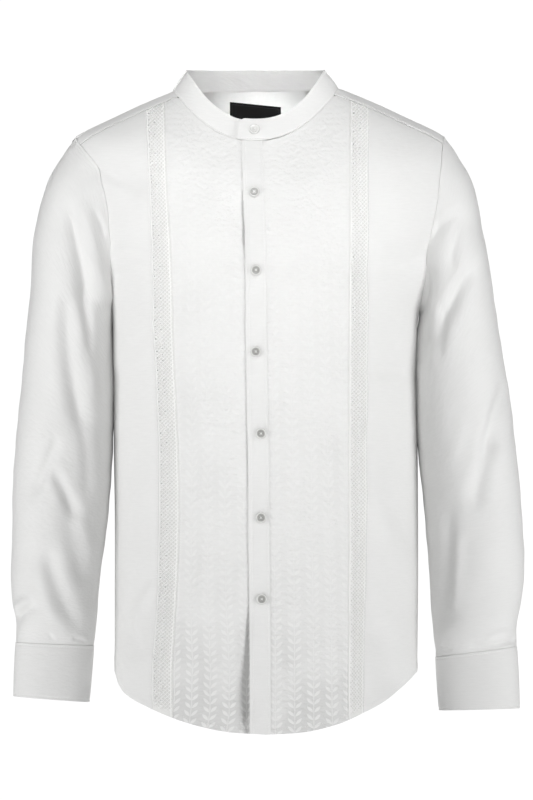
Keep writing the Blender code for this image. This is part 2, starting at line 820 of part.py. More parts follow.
def button(name, base, axis, radius):
    """A turned button with a raised rim round a dish, its back at base."""
    thick = BUTTON_THICKNESS * radius / BUTTON_RADIUS
    inner = radius - BUTTON_RIM
    profile = (
        (0, 0),
        (radius * 0.8, 0),
        (radius, thick * 0.4),
        (radius - 0.4, thick * 0.85),
        (radius - BUTTON_RIM / 2, thick),
        (inner, thick - BUTTON_DISH * 0.8),
        (0, thick - BUTTON_DISH),
    )
    shape = bmesh.new()
    points = [shape.verts.new((r * MM, 0, h * MM)) for r, h in profile]
    for a, b in zip(points, points[1:]):
        shape.edges.new((a, b))
    bmesh.ops.spin(
        shape,
        geom=shape.verts[:] + shape.edges[:],
        cent=(0, 0, 0),
        axis=(0, 0, 1),
        angle=2 * math.pi,
        steps=BUTTON_SEGMENTS,
        use_merge=True,
    )
    bmesh.ops.remove_doubles(shape, verts=shape.verts, dist=1e-5)
    bmesh.ops.recalc_face_normals(shape, faces=shape.faces)
    mesh = bpy.data.meshes.new(name)
    shape.to_mesh(mesh)
    shape.free()
    made = bpy.data.objects.new(name, mesh)
    bpy.context.scene.collection.objects.link(made)
    mesh.materials.append(material(f"{name} shell", *PIECE_LOOKS["button"]))
    mesh.shade_smooth()
    mesh.set_sharp_from_angle(angle=math.radians(45))
    turned = Vector(axis).to_track_quat("Z", "Y").to_matrix().to_4x4()
    made.matrix_world = Matrix.Translation(Vector(base) * MM) @ turned
    return made


def front_buttons():
    for number, (x, z) in enumerate(BUTTONS, 1):
        if number == 1:
            base, out = band_face(x, z)
        else:
            angle = front_angle(x, z)
            base = body(angle, z, PLACKET_LIFT + PLACKET_CLOTH / 2 + BUTTON_GAP + 0.15)
            out = unit(base - body(angle, z, 0))
        button(f"front_button_{number}", base, out, BUTTON_RADIUS)


def band_face(x, z):
    """Where a button sits on the outside of the collar's over end."""
    turn = math.degrees(math.asin((x - NECK_MIDDLE) / NECK_HALF_WIDTH))
    bottom, top = neck_point(turn), band_top_point(turn)
    ahead = neck_point(turn + 2) - neck_point(turn - 2)
    out = unit(np.cross(ahead, top - bottom))
    share = (z - bottom[2]) / (top[2] - bottom[2])
    lift = float(band_lift(turn)) + BAND_CLOTH / 2 + BUTTON_GAP + 0.15
    return mix(bottom, top, share) + out * lift, out


def neck_label():
    """The woven label inside the back of the neck, on the yoke's inner face."""
    columns, rows = 6, 3
    across = np.linspace(-0.5, 0.5, columns + 1)[None]
    down = np.linspace(0, 1, rows + 1)[:, None]
    x = LABEL["middle"] + LABEL["width"] * across + 0 * down
    z = mix(LABEL["top"], LABEL["bottom"], down) - LABEL["tilt"] * across
    inward = -(CLOTH / 2 + LABEL["thickness"] / 2 + SEAM * 2)
    grid = body(180 - front_angle(x, z), z, inward)
    sheet("neck_label", grid, "label", LABEL["thickness"], turned=True)


def main():
    for existing in list(bpy.data.objects):
        bpy.data.objects.remove(existing, do_unlink=True)
    fronts()
    back()
    yoke()
    collar_band()
    sleeves()
    cuffs()
    front_buttons()
    neck_label()


main()
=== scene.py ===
import math

import bmesh
import bpy
import numpy as np
from mathutils import Matrix, Vector


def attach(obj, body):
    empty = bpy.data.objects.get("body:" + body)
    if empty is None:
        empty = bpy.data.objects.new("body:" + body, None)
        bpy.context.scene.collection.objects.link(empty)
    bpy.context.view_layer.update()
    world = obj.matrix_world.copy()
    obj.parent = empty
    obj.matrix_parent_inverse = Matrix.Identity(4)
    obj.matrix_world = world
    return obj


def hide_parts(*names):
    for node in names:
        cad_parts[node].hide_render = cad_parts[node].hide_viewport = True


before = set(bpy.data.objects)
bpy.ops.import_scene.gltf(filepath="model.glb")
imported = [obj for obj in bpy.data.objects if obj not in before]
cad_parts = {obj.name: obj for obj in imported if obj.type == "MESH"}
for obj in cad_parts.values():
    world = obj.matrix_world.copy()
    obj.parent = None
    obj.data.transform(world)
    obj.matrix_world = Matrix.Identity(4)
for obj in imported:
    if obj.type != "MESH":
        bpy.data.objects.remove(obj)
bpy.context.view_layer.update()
mm = 0.001
sides = {"left": 1, "right": -1}

# The body's section at each height, and the line of the shoulders.
bodyCut = {
    "columns": ("height", "rightEdge", "leftEdge", "front", "back"),
    "sections": (
        (40, -262, 262, 72, 82),
        (-10, -252, 254, 90, 100),
        (-56, -246, 246, 104, 110),
        (-91, -221, 240, 112, 116),
        (-134, -204, 231.7, 118, 119),
        (-169, -196, 220.5, 122, 120),
        (-198, -190, 213.6, 123, 119),
        (-225, -184.8, 204.8, 124, 118),
        (-245, -180, 196, 124, 116),
        (-262, -176.5, 189, 124, 115),
        (-300, -174.5, 186, 122, 111),
        (-350, -173.7, 185.6, 119, 106),
        (-420, -173.2, 186.6, 116, 100),
        (-500, -172, 187.2, 114, 98),
        (-600, -172, 187.2, 115, 102),
        (-690, -172, 186.2, 117, 106),
        (-780, -172, 186.2, 119, 108),
    ),
    "squareness": 0.85,
    "shoulderColumns": ("across", "height", "roll"),
    "shoulder": (
        (0, 14, 210),
        (60, 9, 190),
        (98, 2, 155),
        (112, -3.5, 142),
        (130, -11, 130),
        (145, -17.5, 120),
        (165, -27, 112),
        (180, -34, 108),
        (197, -42, 104),
        (210, -48.5, 100),
        (222, -56, 98),
        (240, -67.5, 96),
        (270, -90, 96),
    ),
}
armholeCut = {"pit": -262, "top": -53, "swing": 28, "roundness": 2.4}
neckCut = {
    "middle": -5.3,
    "halfWidth": 98,
    "sideHeight": 2,
    "drop": 62.5,
    "power": 2.2,
    "backSag": 12.5,
}
yokeCut = {"frontDrop": 9.5, "backSeam": -92}
hemCut = {
    "front": (-759.5, 73),  # the middle's height and its rise to the side seams
    "back": (-753, 66.5),
    "columns": ("sine", "right", "left"),
    "rise": (
        (0, 0, 0),
        (0.3, 0.06, 0.06),
        (0.52, 0.188, 0.21),
        (0.65, 0.295, 0.355),
        (0.75, 0.4, 0.48),
        (0.83, 0.495, 0.61),
        (0.9, 0.59, 0.755),
        (0.95, 0.69, 0.88),
        (0.98, 0.82, 0.955),
        (1, 1, 1),
    ),
}
placketCut = {
    "width": 25,
    "underEdge": 3,
    "columns": ("height", "middle"),
    "line": (
        (0, -9.5),
        (-61, -9),
        (-118, -7.4),
        (-189, -4.8),
        (-248, -4.4),
        (-366, -3),
        (-425, -1.6),
        (-519, -1.2),
        (-602, 0),
        (-770, 0.6),
    ),
}
tapeCut = {
    "columns": ("height", "rightOuter", "rightInner", "leftInner", "leftOuter"),
    "lines": (
        (0, -136, -112.5, 106, 129),
        (-60, -133, -111, 105.5, 127.5),
        (-118, -130, -109, 105, 127),
        (-189, -127.4, -104.2, 105, 127.4),
        (-248, -126.3, -102.7, 104.2, 127),
        (-307, -124.4, -100.9, 104, 126.6),
        (-366, -121.5, -98.5, 103.6, 126),
        (-425, -119.4, -95.8, 103.8, 125),
        (-572, -121, -96.4, 104, 124),
        (-625, -123.4, -99.2, 104, 123),
        (-673, -126.2, -101.4, 104, 122),
        (-770, -126.7, -102.3, 104, 121.5),
    ),
}
# A sleeve's section: its outer and inner points, half its depth and how far back its middle lies.
sleeveCut = {
    "columns": ("outerX", "outerZ", "innerX", "innerZ", "halfDepth", "middleY"),
    "squareness": 0.92,
    "capBlend": 0.3,
    "left": (
        (217, -53, 189, -262, 60, 0),
        (234, -76, 187.6, -276, 64, 1),
        (252, -113, 185.8, -298, 69, 2),
        (264.5, -168, 185.2, -325, 71, 2),
        (275.5, -234, 185.0, -357, 71, 1),
        (286.5, -307, 185.8, -395, 69, -1),
        (298, -382, 189.4, -441, 65, -4),
        (306, -455, 194.8, -492, 60, -8),
        (312, -528, 199, -548, 55, -13),
        (311, -594, 202.7, -604, 49, -18),
        (304.2, -631, 205.9, -642, 43, -22),
        (303.6, -657.5, 208.3, -669.5, 33, -24),
    ),
    "right": (
        (-217, -53, -176.5, -262, 60, 0),
        (-232.5, -74, -175.4, -276, 64, 1),
        (-253.5, -111, -174.2, -298, 69, 2),
        (-267, -168, -173.5, -325, 71, 2),
        (-272, -234, -173.1, -357, 71, 1),
        (-278.5, -307, -173.2, -395, 69, -1),
        (-286.5, -382, -175.4, -441, 65, -4),
        (-292.5, -455, -178.6, -492, 60, -8),
        (-294.4, -528, -185.3, -546, 55, -13),
        (-294, -594, -192, -601, 49, -18),
        (-289.5, -628, -195.2, -632, 43, -22),
        (-288.7, -652.3, -197.2, -656.2, 33, -24),
    ),
}

# Folds as seen from the front: the ends of each one's line, its breadth and how far it stands out.
frontFolds = (
    (-213, -67, -150, -111, 16, -4.5),
    (201, -191, 131, -217, 20, -4.0),
    (-168, -196, -132, -200, 13, 2.5),
    (-130, -278, -165, -320, 18, 2.5),
    (131, -333, 170, -331, 10, -2.0),
    (-124, -574, -155, -650, 18, -3.0),
    (57, -401, 78, -555, 16, 2.5),
    (130, -484, 168, -572, 18, 2.5),
    (-27, -140, -24, -205, 16, -3.0),
    (-25, -630, -24, -722, 18, -4.0),
    (-80, -330, -45, -460, 16, 2.0),
    (140, -640, 150, -700, 14, -3.0),
)
backFolds = (
    (-150, -120, -95, -300, 22, -4.0),
    (150, -125, 100, -310, 22, -4.0),
    (-60, -380, -110, -560, 24, 3.5),
    (70, -400, 105, -600, 24, 3.5),
    (0, -420, 8, -690, 26, -3.0),
)
sleeveFrontFolds = {
    "right": (
        (-223, -143, -204, -243, 12, -6.5),
        (-204, -243, -200, -309, 14, -6.5),
        (-209, -141, -181, -243, 9, 4.5),
        (-228, -252, -210, -387, 12, -5.5),
        (-241, -421, -263, -463, 9, -4.0),
        (-237, -462, -218, -491, 9, -4.0),
        (-228, -491, -206, -570, 12, -5.0),
        (-249, -558, -218, -630, 11, -4.5),
        (-291, -625, -270, -610, 8, -5.0),
    ),
    "left": (
        (206, -165, 236, -145, 10, -4.0),
        (240, -156, 227, -209, 11, -4.0),
        (262, -191, 247, -222, 12, 3.0),
        (247, -222, 206, -299, 13, -7.0),
        (199, -217, 193, -320, 9, -5.0),
        (293, -353, 273, -414, 13, -5.5),
        (273, -414, 259, -481, 12, -4.0),
        (222, -500, 216, -620, 13, -4.0),
        (256, -661, 300, -650, 8, -4.5),
    ),
}
sleeveBackFolds = (
    (233, -170, 212, -262, 13, -5.0),
    (262, -230, 222, -330, 13, -5.5),
    (285, -360, 232, -440, 14, -5.5),
    (225, -430, 285, -492, 12, 4.5),
    (228, -505, 262, -600, 13, -5.0),
)
# Finer creases: a line as above, how far its middle bows to the left of its run, its breadth,
# and its height, below zero for a trough. Each fades out towards its ends.
frontCreases = (
    (-219, -74, -152, -112, -5, 7, -2.6),
    (-205, -98, -160, -122, 4, 8, 1.6),
    (-178, -196, -133, -201, 3, 4, -1.2),
    (-176, -206, -136, -208, -2, 5, 1.0),
    (-128, -276, -170, -322, 5, 8, -1.6),
    (-126, -572, -153, -652, -14, 7, -2.4),
    (-119, -570, -142, -650, -12, 8, 1.5),
    (201, -188, 134, -216, 6, 8, -1.8),
    (172, -166, 136, -200, -5, 7, 1.4),
    (128, -331, 172, -330, 3, 5, -1.8),
    (126, -341, 170, -342, -2, 6, 1.0),
    (128, -480, 170, -575, 7, 9, 1.5),
    (56, -398, 80, -560, -6, 8, -1.3),
    (72, -380, 92, -520, 6, 9, 1.2),
    (-84, -300, -44, -470, 8, 9, -1.1),
    (-60, -520, -70, -640, -4, 10, 1.0),
    (-26, -136, -22, -212, 2, 6, -1.8),
    (-30, -625, -26, -728, 2, 9, -2.2),
    (34, -600, 40, -720, -3, 11, -1.2),
    (146, -630, 154, -705, 3, 7, -1.8),
    (84, -620, 88, -730, 2, 9, 1.0),
    (-90, -610, -86, -725, -2, 9, 1.1),
)
backCreases = (
    (-155, -118, -92, -302, 10, 9, -2.0),
    (154, -120, 98, -312, -9, 9, -2.2),
    (-120, -150, -70, -260, 6, 10, 1.4),
    (118, -160, 72, -270, -5, 10, 1.3),
    (-60, -380, -112, -560, -8, 11, 1.6),
    (-90, -420, -140, -540, 6, 9, -1.5),
    (70, -400, 108, -610, 7, 11, 1.5),
    (96, -440, 138, -560, -6, 9, -1.6),
    (2, -420, 10, -690, 5, 12, -1.4),
    (-24, -440, -30, -660, -5, 11, 1.1),
    (-130, -330, -80, -345, 3, 6, -1.3),
    (76, -352, 132, -338, -3, 6, -1.4),
)


def curve(columns, rows, key, value):
    # A smooth curve of one column of a table against another.
    at = np.array([row[columns.index(key)] for row in rows], float)
    to = np.array([row[columns.index(value)] for row in rows], float)
    order = np.argsort(at)
    at, to = at[order], to[order]
    slope = np.gradient(to, at)

    def valueAt(x):
        x = np.clip(np.asarray(x, float), at[0], at[-1])
        i = np.clip(np.searchsorted(at, x) - 1, 0, len(at) - 2)
        span = at[i + 1] - at[i]
        t = (x - at[i]) / span
        near = (1 + 2 * t) * (1 - t) ** 2 * to[i] + t * (1 - t) ** 2 * span * slope[i]
        far = t * t * (3 - 2 * t) * to[i + 1] + t * t * (t - 1) * span * slope[i + 1]
        return near + far

    return valueAt


def sectionCurve(name):
    return curve(bodyCut["columns"], bodyCut["sections"], "height", name)


rightEdge, leftEdge = sectionCurve("rightEdge"), sectionCurve("leftEdge")
frontDepth, backDepth = sectionCurve("front"), sectionCurve("back")
ridgeByDistance = curve(bodyCut["shoulderColumns"], bodyCut["shoulder"], "across", "height")
rollByDistance = curve(bodyCut["shoulderColumns"], bodyCut["shoulder"], "across", "roll")
placketMiddle = curve(placketCut["columns"], placketCut["line"], "height", "middle")
hemRight = curve(hemCut["columns"], hemCut["rise"], "sine", "right")
hemLeft = curve(hemCut["columns"], hemCut["rise"], "sine", "left")
tapeEdge = {
    name: curve(tapeCut["columns"], tapeCut["lines"], "height", name)
    for name in tapeCut["columns"][1:]
}


def mix(a, b, t):
    return a + (b - a) * t


def ease(t):
    t = np.clip(t, 0, 1)
    return t * t * (3 - 2 * t)


def unit(vectors):
    return vectors / np.maximum(np.linalg.norm(vectors, axis=-1, keepdims=True), 1e-9)


def ridge(x):
    return ridgeByDistance(np.abs(x))


def bump(distance, breadth):
    return np.exp(-((distance / breadth) ** 2))


def foldHeight(folds, x, z):
    total = np.zeros(np.broadcast(x, z).shape)
    for x1, z1, x2, z2, breadth, height in folds:
        run = np.array([x2 - x1, z2 - z1], float)
        t = np.clip(((x - x1) * run[0] + (z - z1) * run[1]) / (run @ run), 0, 1)
        away = np.hypot(x - x1 - t * run[0], z - z1 - t * run[1])
        total = total + height * bump(away, breadth)
    return total


def creaseHeight(creases, x, z):
    # A bowed line with a soft lip on one side, fading out at both ends.
    total = np.zeros(np.broadcast(x, z).shape)
    for x1, z1, x2, z2, bow, breadth, height in creases:
        run = np.array([x2 - x1, z2 - z1], float)
        length = math.hypot(*run)
        t = ((x - x1) * run[0] + (z - z1) * run[1]) / length**2
        off = ((z - z1) * run[0] - (x - x1) * run[1]) / length
        inside = np.clip(t, 0, 1)
        off = off - bow * 4 * inside * (1 - inside)
        shown = ease(t / 0.3 + 0.15) * ease((1 - t) / 0.3 + 0.15)
        shape = bump(off, breadth) - 0.4 * bump(off - 1.7 * breadth, breadth)
        total = total + height * shape * shown
    return total


# Long, low waves that keep wide stretches of cloth from lying dead smooth: the wave's length, its
# direction in degrees, its start and its height.
restlessWaves = (
    (143, 12, 0.4, 0.5),
    (97, 71, 1.9, 0.45),
    (71, -38, 4.1, 0.35),
    (52, 24, 2.6, 0.22),
    (39, 83, 5.3, 0.16),
    (29, -61, 0.9, 0.1),
)


def restless(x, z):
    total = 0
    for length, direction, start, height in restlessWaves:
        way = math.radians(direction)
        along = x * math.cos(way) + z * math.sin(way)
        total = total + height * np.sin(along / length * 2 * math.pi + start)
    return total


def halfWidth(z):
    return (leftEdge(z) - rightEdge(z)) / 2


def middleOf(z):
    return (leftEdge(z) + rightEdge(z)) / 2


def bodyX(angle, z):
    return middleOf(z) + halfWidth(z) * np.sin(np.radians(angle))


def frontAngle(x, z):
    return np.degrees(np.arcsin(np.clip((x - middleOf(z)) / halfWidth(z), -1, 1)))


def smoothBody(angle, z):
    x = bodyX(angle, z)
    facing = np.cos(np.radians(angle))
    depth = np.where(facing > 0, frontDepth(z), backDepth(z))
    rolled = np.clip((ridge(x) - z) / rollByDistance(np.abs(x)), 0, 1)
    curved = np.abs(facing) ** bodyCut["squareness"] * np.sqrt(1 - (1 - rolled) ** 2)
    return np.stack(np.broadcast_arrays(x, -np.sign(facing) * curved * depth, z), axis=-1)


def body(angle, z, lift=0.0):
    # Points of the body's cloth, at angles round it and at heights, moved out by lift.
    angle, z = np.broadcast_arrays(np.asarray(angle, float), np.asarray(z, float))
    point = smoothBody(angle, z)
    x = point[..., 0]
    ahead, behind = angle + 1, angle - 1
    aheadZ = z + ridge(bodyX(ahead, z)) - ridge(x)
    behindZ = z + ridge(bodyX(behind, z)) - ridge(x)
    along = smoothBody(ahead, aheadZ) - smoothBody(behind, behindZ)
    down = smoothBody(angle, z - 2) - smoothBody(angle, np.minimum(z + 2, ridge(x)))
    normal = unit(np.cross(down, along))
    facing = np.cos(np.radians(angle))
    inFront = foldHeight(frontFolds, x, z) + creaseHeight(frontCreases, x, z)
    behindIt = foldHeight(backFolds, x, z) + creaseHeight(backCreases, x, z)
    folds = np.where(facing > 0, inFront, behindIt) + restless(x, z) * ease((-z - 20) / 60)
    return point + normal * (lift + folds * ease(np.abs(facing) / 0.3))[..., None]


def armholeAngle(z):
    up = np.clip((z - armholeCut["pit"]) / (armholeCut["top"] - armholeCut["pit"]), 0, 1)
    return 90 - armholeCut["swing"] * np.sqrt(1 - (1 - up) ** armholeCut["roundness"])


def armhole(side, turn, gap=0.0):
    # The armhole's loop; turn goes from the top by way of the front, in degrees.
    turn = np.asarray(turn, float) % 360
    z = mix(armholeCut["pit"], armholeCut["top"], (1 + np.cos(np.radians(turn))) / 2)
    xThere = bodyX(side * armholeAngle(z), z)
    z = np.where(z > ridge(xThere), ridge(xThere), z)
    inFront = side * armholeAngle(z)
    point = body(np.where(turn <= 180, inFront, side * 180 - inFront), z)
    point[..., 0] += side * gap
    return point


def neckHeight(x):
    off = np.clip(np.abs(x - neckCut["middle"]) / neckCut["halfWidth"], 0, 1)
    return neckCut["sideHeight"] - neckCut["drop"] * (1 - off ** neckCut["power"])


def neckBackHeight(x):
    off = np.clip(np.abs(x - neckCut["middle"]) / neckCut["halfWidth"], 0, 1)
    return ridge(x) - neckCut["backSag"] * (1 - off**2)


def frontTop(x):
    return np.minimum(ridge(x) - yokeCut["frontDrop"], neckHeight(x))


def hem(angle):
    sine = np.sin(np.radians(angle))
    risen = np.where(sine < 0, hemRight(np.abs(sine)), hemLeft(np.abs(sine)))
    front = hemCut["front"][0] + hemCut["front"][1] * risen
    back = hemCut["back"][0] + hemCut["back"][1] * risen
    return np.where(np.cos(np.radians(angle)) > 0, front, back)


def linear(hexColour):
    # An sRGB hex value as linear light, with full cover.
    parts = [int(hexColour[i : i + 2], 16) / 255 for i in (1, 3, 5)]
    return (*(p / 12.92 if p <= 0.04045 else ((p + 0.055) / 1.055) ** 2.4 for p in parts), 1)


def setInputs(node, inputs):
    # Gives a node its inputs, in order or by name: values, sockets, or nodes for their first output.
    for socket, source in inputs.items() if isinstance(inputs, dict) else enumerate(inputs):
        if isinstance(source, bpy.types.Node):
            source = source.outputs[0]
        if isinstance(source, bpy.types.NodeSocket):
            node.id_data.links.new(source, node.inputs[socket])
        else:
            node.inputs[socket].default_value = source


def addNode(nodes, kind, inputs=(), **settings):
    node = nodes.new(kind)
    for name, value in settings.items():
        setattr(node, name, value)
    setInputs(node, inputs)
    return node


def newMaterial(name, **sockets):
    made = bpy.data.materials.new(name)
    made.use_nodes = True
    nodes = made.node_tree.nodes
    shader = nodes["Principled BSDF"]
    setInputs(shader, {socket.replace("_", " "): value for socket, value in sockets.items()})
    return made, nodes, shader


clothLook = {
    "cloth": "#eaeae9",
    "shade": "#e3e3e2",
    "slub": (14, 1.5),  # mm along and across a thick place in the weft; a real one is finer
    "slubDetail": 3.0,
    "slubDepth": 0.035,
    "crumple": (8.0, 5.0),  # mm along and across the small waves of cloth that was pressed and then worn
    "crumpleDetail": 2.0,
    "crumpleDepth": 0.5,
}


def clothNoise(nodes, kind):
    # Noise in patches of a size in mm along the weft and across it.
    length, breadth = clothLook[kind]
    flat = addNode(nodes, "ShaderNodeUVMap", uv_map="cloth")
    scale = (1 / length, 1 / breadth, 1)
    scaled = addNode(nodes, "ShaderNodeVectorMath", [flat, scale], operation="MULTIPLY")
    inputs = {"Vector": scaled, "Scale": 1.0, "Detail": clothLook[f"{kind}Detail"]}
    return addNode(nodes, "ShaderNodeTexNoise", inputs)


def clothRelief(nodes, shader, height, depth, crumpleDepth):
    # The weave's own relief, on cloth that is slightly crumpled.
    crumple = clothNoise(nodes, "crumple")
    inputs = {"Height": crumple, "Distance": crumpleDepth * mm, "Strength": 1.0}
    worn = addNode(nodes, "ShaderNodeBump", inputs)
    inputs = {"Height": height, "Distance": depth * mm, "Strength": 1.0, "Normal": worn}
    setInputs(shader, {"Normal": addNode(nodes, "ShaderNodeBump", inputs)})


# Cotton poplin: plain woven and pressed, matt, with faint thick places along the weft.
def poplin(name, roughness=0.88, cloth=clothLook["cloth"], shade=clothLook["shade"]):
    made, nodes, shader = newMaterial(
        name, Roughness=roughness, Sheen_Weight=0.12, Sheen_Roughness=0.5, Specular_IOR_Level=0.25
    )
    slubs = clothNoise(nodes, "slub")
    colours = {0: slubs, 6: linear(shade), 7: linear(cloth)}
    tone = addNode(nodes, "ShaderNodeMix", colours, data_type="RGBA")
    setInputs(shader, {"Base Color": tone.outputs[2]})
    clothRelief(nodes, shader, slubs, clothLook["slubDepth"], clothLook["crumpleDepth"])
    return made


leafLook = {
    "columnSpacing": 23.0,  # mm from stem to stem
    "firstColumn": 0.15,  # share of the first column that lies under the placket
    "pairPitch": (12.2, 9.4),  # mm from one pair of leaves to the next, at mid-body and at the hem
    "pitchChange": (-430, -700),
    "levels": (-800, 50, 1701),
    "leafLength": 12.6,
    "leafBreadth": 4.3,
    "leafEdge": (1.08, 0.86),  # from the ground to full satin, where 1 is the leaf's outline
    "lean": 38,  # degrees from the stem
    "offStem": 4.6,
    "stemEdge": (0.034, 0.018),  # the same for the stem, in shares of a column
    "stemShare": 0.8,
    "satin": "#ebebea",
    "ground": "#d6d6d5",
    # painted light: the leaves fade out towards the chest, where the light is brightest
    "paintedFadeHeights": (-0.15, -0.62, -0.73),  # metres; the leaves show more and more towards the hem
    "shownUnderPaintedLight": (0.03, 0.19, 0.95),
    "patch": 0.055,  # metres between places where the leaves show more and less
    "patchNoise": (0.35, 0.65),
    "patchStrength": (0.4, 1.25),
    "slubShare": 0.3,
    "roughness": (0.88, 0.7),  # of the ground and the satin
    "height": 0.07,
    "crumpleDepth": 1.6,
}


# Cotton jacquard: satin leaves, smoother and lighter than the plain ground they are woven in.
def jacquard(name):
    look = leafLook
    made, nodes, shader = newMaterial(name, Sheen_Weight=0.12, Specular_IOR_Level=0.3)
    laid = addNode(nodes, "ShaderNodeUVMap", uv_map="leaf")
    parts = addNode(nodes, "ShaderNodeSeparateXYZ", [laid]).outputs
    column = addNode(nodes, "ShaderNodeMath", [parts["X"]], operation="FLOOR")
    # every other column stands half a pair lower
    stagger = addNode(nodes, "ShaderNodeMath", [column, 0.5, parts["Y"]], operation="MULTIPLY_ADD")
    inColumn = addNode(nodes, "ShaderNodeMath", [parts["X"]], operation="FRACT")
    inRow = addNode(nodes, "ShaderNodeMath", [stagger], operation="FRACT")
    offStem = addNode(nodes, "ShaderNodeMath", [inColumn, 0.5], operation="SUBTRACT")
    mirrored = addNode(nodes, "ShaderNodeMath", [offStem], operation="ABSOLUTE")
    place = addNode(nodes, "ShaderNodeCombineXYZ", [mirrored, inRow, 1.0])
    sine, cosine = math.sin(math.radians(look["lean"])), math.cos(math.radians(look["lean"]))
    wide, tall = look["columnSpacing"], look["pairPitch"][0]
    half, breadth = look["leafLength"] / 2, look["leafBreadth"] / 2
    # the place along the leaf and across it, each 1 at the leaf's edge
    alongRow = (wide * sine / half, tall * cosine / half)
    acrossRow = (wide * cosine / breadth, -tall * sine / breadth)
    alongRow += (-(look["offStem"] * sine + tall / 2 * cosine) / half,)
    acrossRow += (-(look["offStem"] * cosine - tall / 2 * sine) / breadth,)
    along, across = (
        addNode(nodes, "ShaderNodeVectorMath", [place, row], operation="DOT_PRODUCT").outputs["Value"]
        for row in (alongRow, acrossRow)
    )
    aside = addNode(nodes, "ShaderNodeMath", [across], operation="ABSOLUTE")
    lens = addNode(nodes, "ShaderNodeMath", [along, along, aside], operation="MULTIPLY_ADD")
    leaf = addNode(nodes, "ShaderNodeMapRange", [lens, *look["leafEdge"], 0.0, 1.0])
    stem = addNode(nodes, "ShaderNodeMapRange", [mirrored, *look["stemEdge"], 0.0, look["stemShare"]])
    satin = addNode(nodes, "ShaderNodeMath", [leaf, stem], operation="MAXIMUM")
    slubs = clothNoise(nodes, "slub")
    spot = addNode(nodes, "ShaderNodeTexCoord").outputs["Object"]
    height = addNode(nodes, "ShaderNodeSeparateXYZ", [spot]).outputs["Z"]
    # the leaves are the cloth's own pattern, faded by painted light: the ground is hardly darker at the
    # chest, where the light is brightest, and clearly so at the hem
    atChest, atWaist, atHem = look["paintedFadeHeights"]
    faint, slight, clear = look["shownUnderPaintedLight"]
    upper = addNode(nodes, "ShaderNodeMapRange", [height, atChest, atWaist, faint, slight])
    shownUnderPaintedLight = addNode(nodes, "ShaderNodeMapRange", [height, atWaist, atHem, upper, clear])
    ground = addNode(nodes, "ShaderNodeMath", [1.0, satin], operation="SUBTRACT")
    inputs = {"Vector": spot, "Scale": 1 / look["patch"], "Detail": 1.0}
    patches = addNode(nodes, "ShaderNodeTexNoise", inputs)
    patchy = addNode(nodes, "ShaderNodeMapRange", [patches, *look["patchNoise"], *look["patchStrength"]])
    strength = addNode(nodes, "ShaderNodeMath", [shownUnderPaintedLight, patchy], operation="MULTIPLY")
    shown = addNode(nodes, "ShaderNodeMath", [ground, strength], operation="MULTIPLY")
    slubShare = look["slubShare"]
    mottled = addNode(nodes, "ShaderNodeMath", [slubs, slubShare, shown], operation="MULTIPLY_ADD")
    colours = {0: mottled, 6: linear(look["satin"]), 7: linear(look["ground"])}
    tone = addNode(nodes, "ShaderNodeMix", colours, data_type="RGBA")
    gloss = addNode(nodes, "ShaderNodeMapRange", [satin, 0.0, 1.0, *look["roughness"]])
    setInputs(shader, {"Base Color": tone.outputs[2], "Roughness": gloss})
    relief = addNode(nodes, "ShaderNodeMath", [slubs, slubShare, satin], operation="MULTIPLY_ADD")
    clothRelief(nodes, shader, relief, look["height"], look["crumpleDepth"])
    return made


def addUv(mesh, name, uv):
    corners = np.zeros(len(mesh.loops), int)
    mesh.loops.foreach_get("vertex_index", corners)
    mesh.uv_layers.new(name=name).data.foreach_set("uv", uv[corners].ravel())


def addLeafUv(mesh, uv):
    # Counts the leaf columns from the placket and the pairs down from the shoulder.
    look = leafLook
    levels = np.linspace(*look["levels"])
    start, end = look["pitchChange"]
    pitch = mix(*look["pairPitch"], ease((start - levels) / (start - end)))
    counted = np.concatenate([[0], np.cumsum((1 / pitch[1:] + 1 / pitch[:-1]) / 2 * np.diff(levels))])
    rows = np.interp(uv[:, 1], levels, counted)
    columns = uv[:, 0] / look["columnSpacing"] + look["firstColumn"]
    addUv(mesh, "leaf", np.stack([columns, rows], axis=-1))


threadLook = {"sewn": "#efefee", "cord": "#f8f8f7", "twists": 1600.0, "depth": 0.05, "strength": 0.6}


# Cotton thread and cord, twisted: matt, with fine bumps across its run.
def thread(name, colour):
    look = threadLook
    made, nodes, shader = newMaterial(
        name, Roughness=0.75, Sheen_Weight=0.1, Specular_IOR_Level=0.3, Base_Color=linear(colour)
    )
    spot = addNode(nodes, "ShaderNodeTexCoord").outputs["Object"]
    twist = addNode(nodes, "ShaderNodeTexNoise", {"Vector": spot, "Scale": look["twists"]})
    inputs = {"Height": twist, "Distance": look["depth"] * mm, "Strength": look["strength"]}
    setInputs(shader, {"Normal": addNode(nodes, "ShaderNodeBump", inputs)})
    return made


def addObject(name, data):
    made = bpy.data.objects.new(name, data)
    bpy.context.scene.collection.objects.link(made)
    return made


def addWall(made, thickness):
    wall = made.modifiers.new("wall", "SOLIDIFY")
    wall.thickness = thickness * mm
    wall.offset = 0


def newObject(name, points, faces, look, uv, thickness=None, edge=0.0):
    # A mesh object from points in millimetres; a thickness makes it a wall, an edge rounds its rim.
    mesh = bpy.data.meshes.new(name)
    mesh.from_pydata((points * mm).tolist(), [], faces)
    addUv(mesh, "cloth", uv)
    made = addObject(name, mesh)
    mesh.materials.append(look)
    mesh.shade_smooth()
    if thickness:
        addWall(made, thickness)
    if edge:
        rounded = made.modifiers.new("rounded edge", "BEVEL")
        rounded.width = edge * mm
        rounded.segments = 2
        rounded.limit_method = "ANGLE"
    return made


def takeMesh(holder):
    # The mesh that an object's modifiers make of it; the object itself goes.
    bpy.context.view_layer.update()
    evaluated = holder.evaluated_get(bpy.context.evaluated_depsgraph_get())
    mesh = bpy.data.meshes.new_from_object(evaluated)
    bpy.data.objects.remove(holder, do_unlink=True)
    return mesh


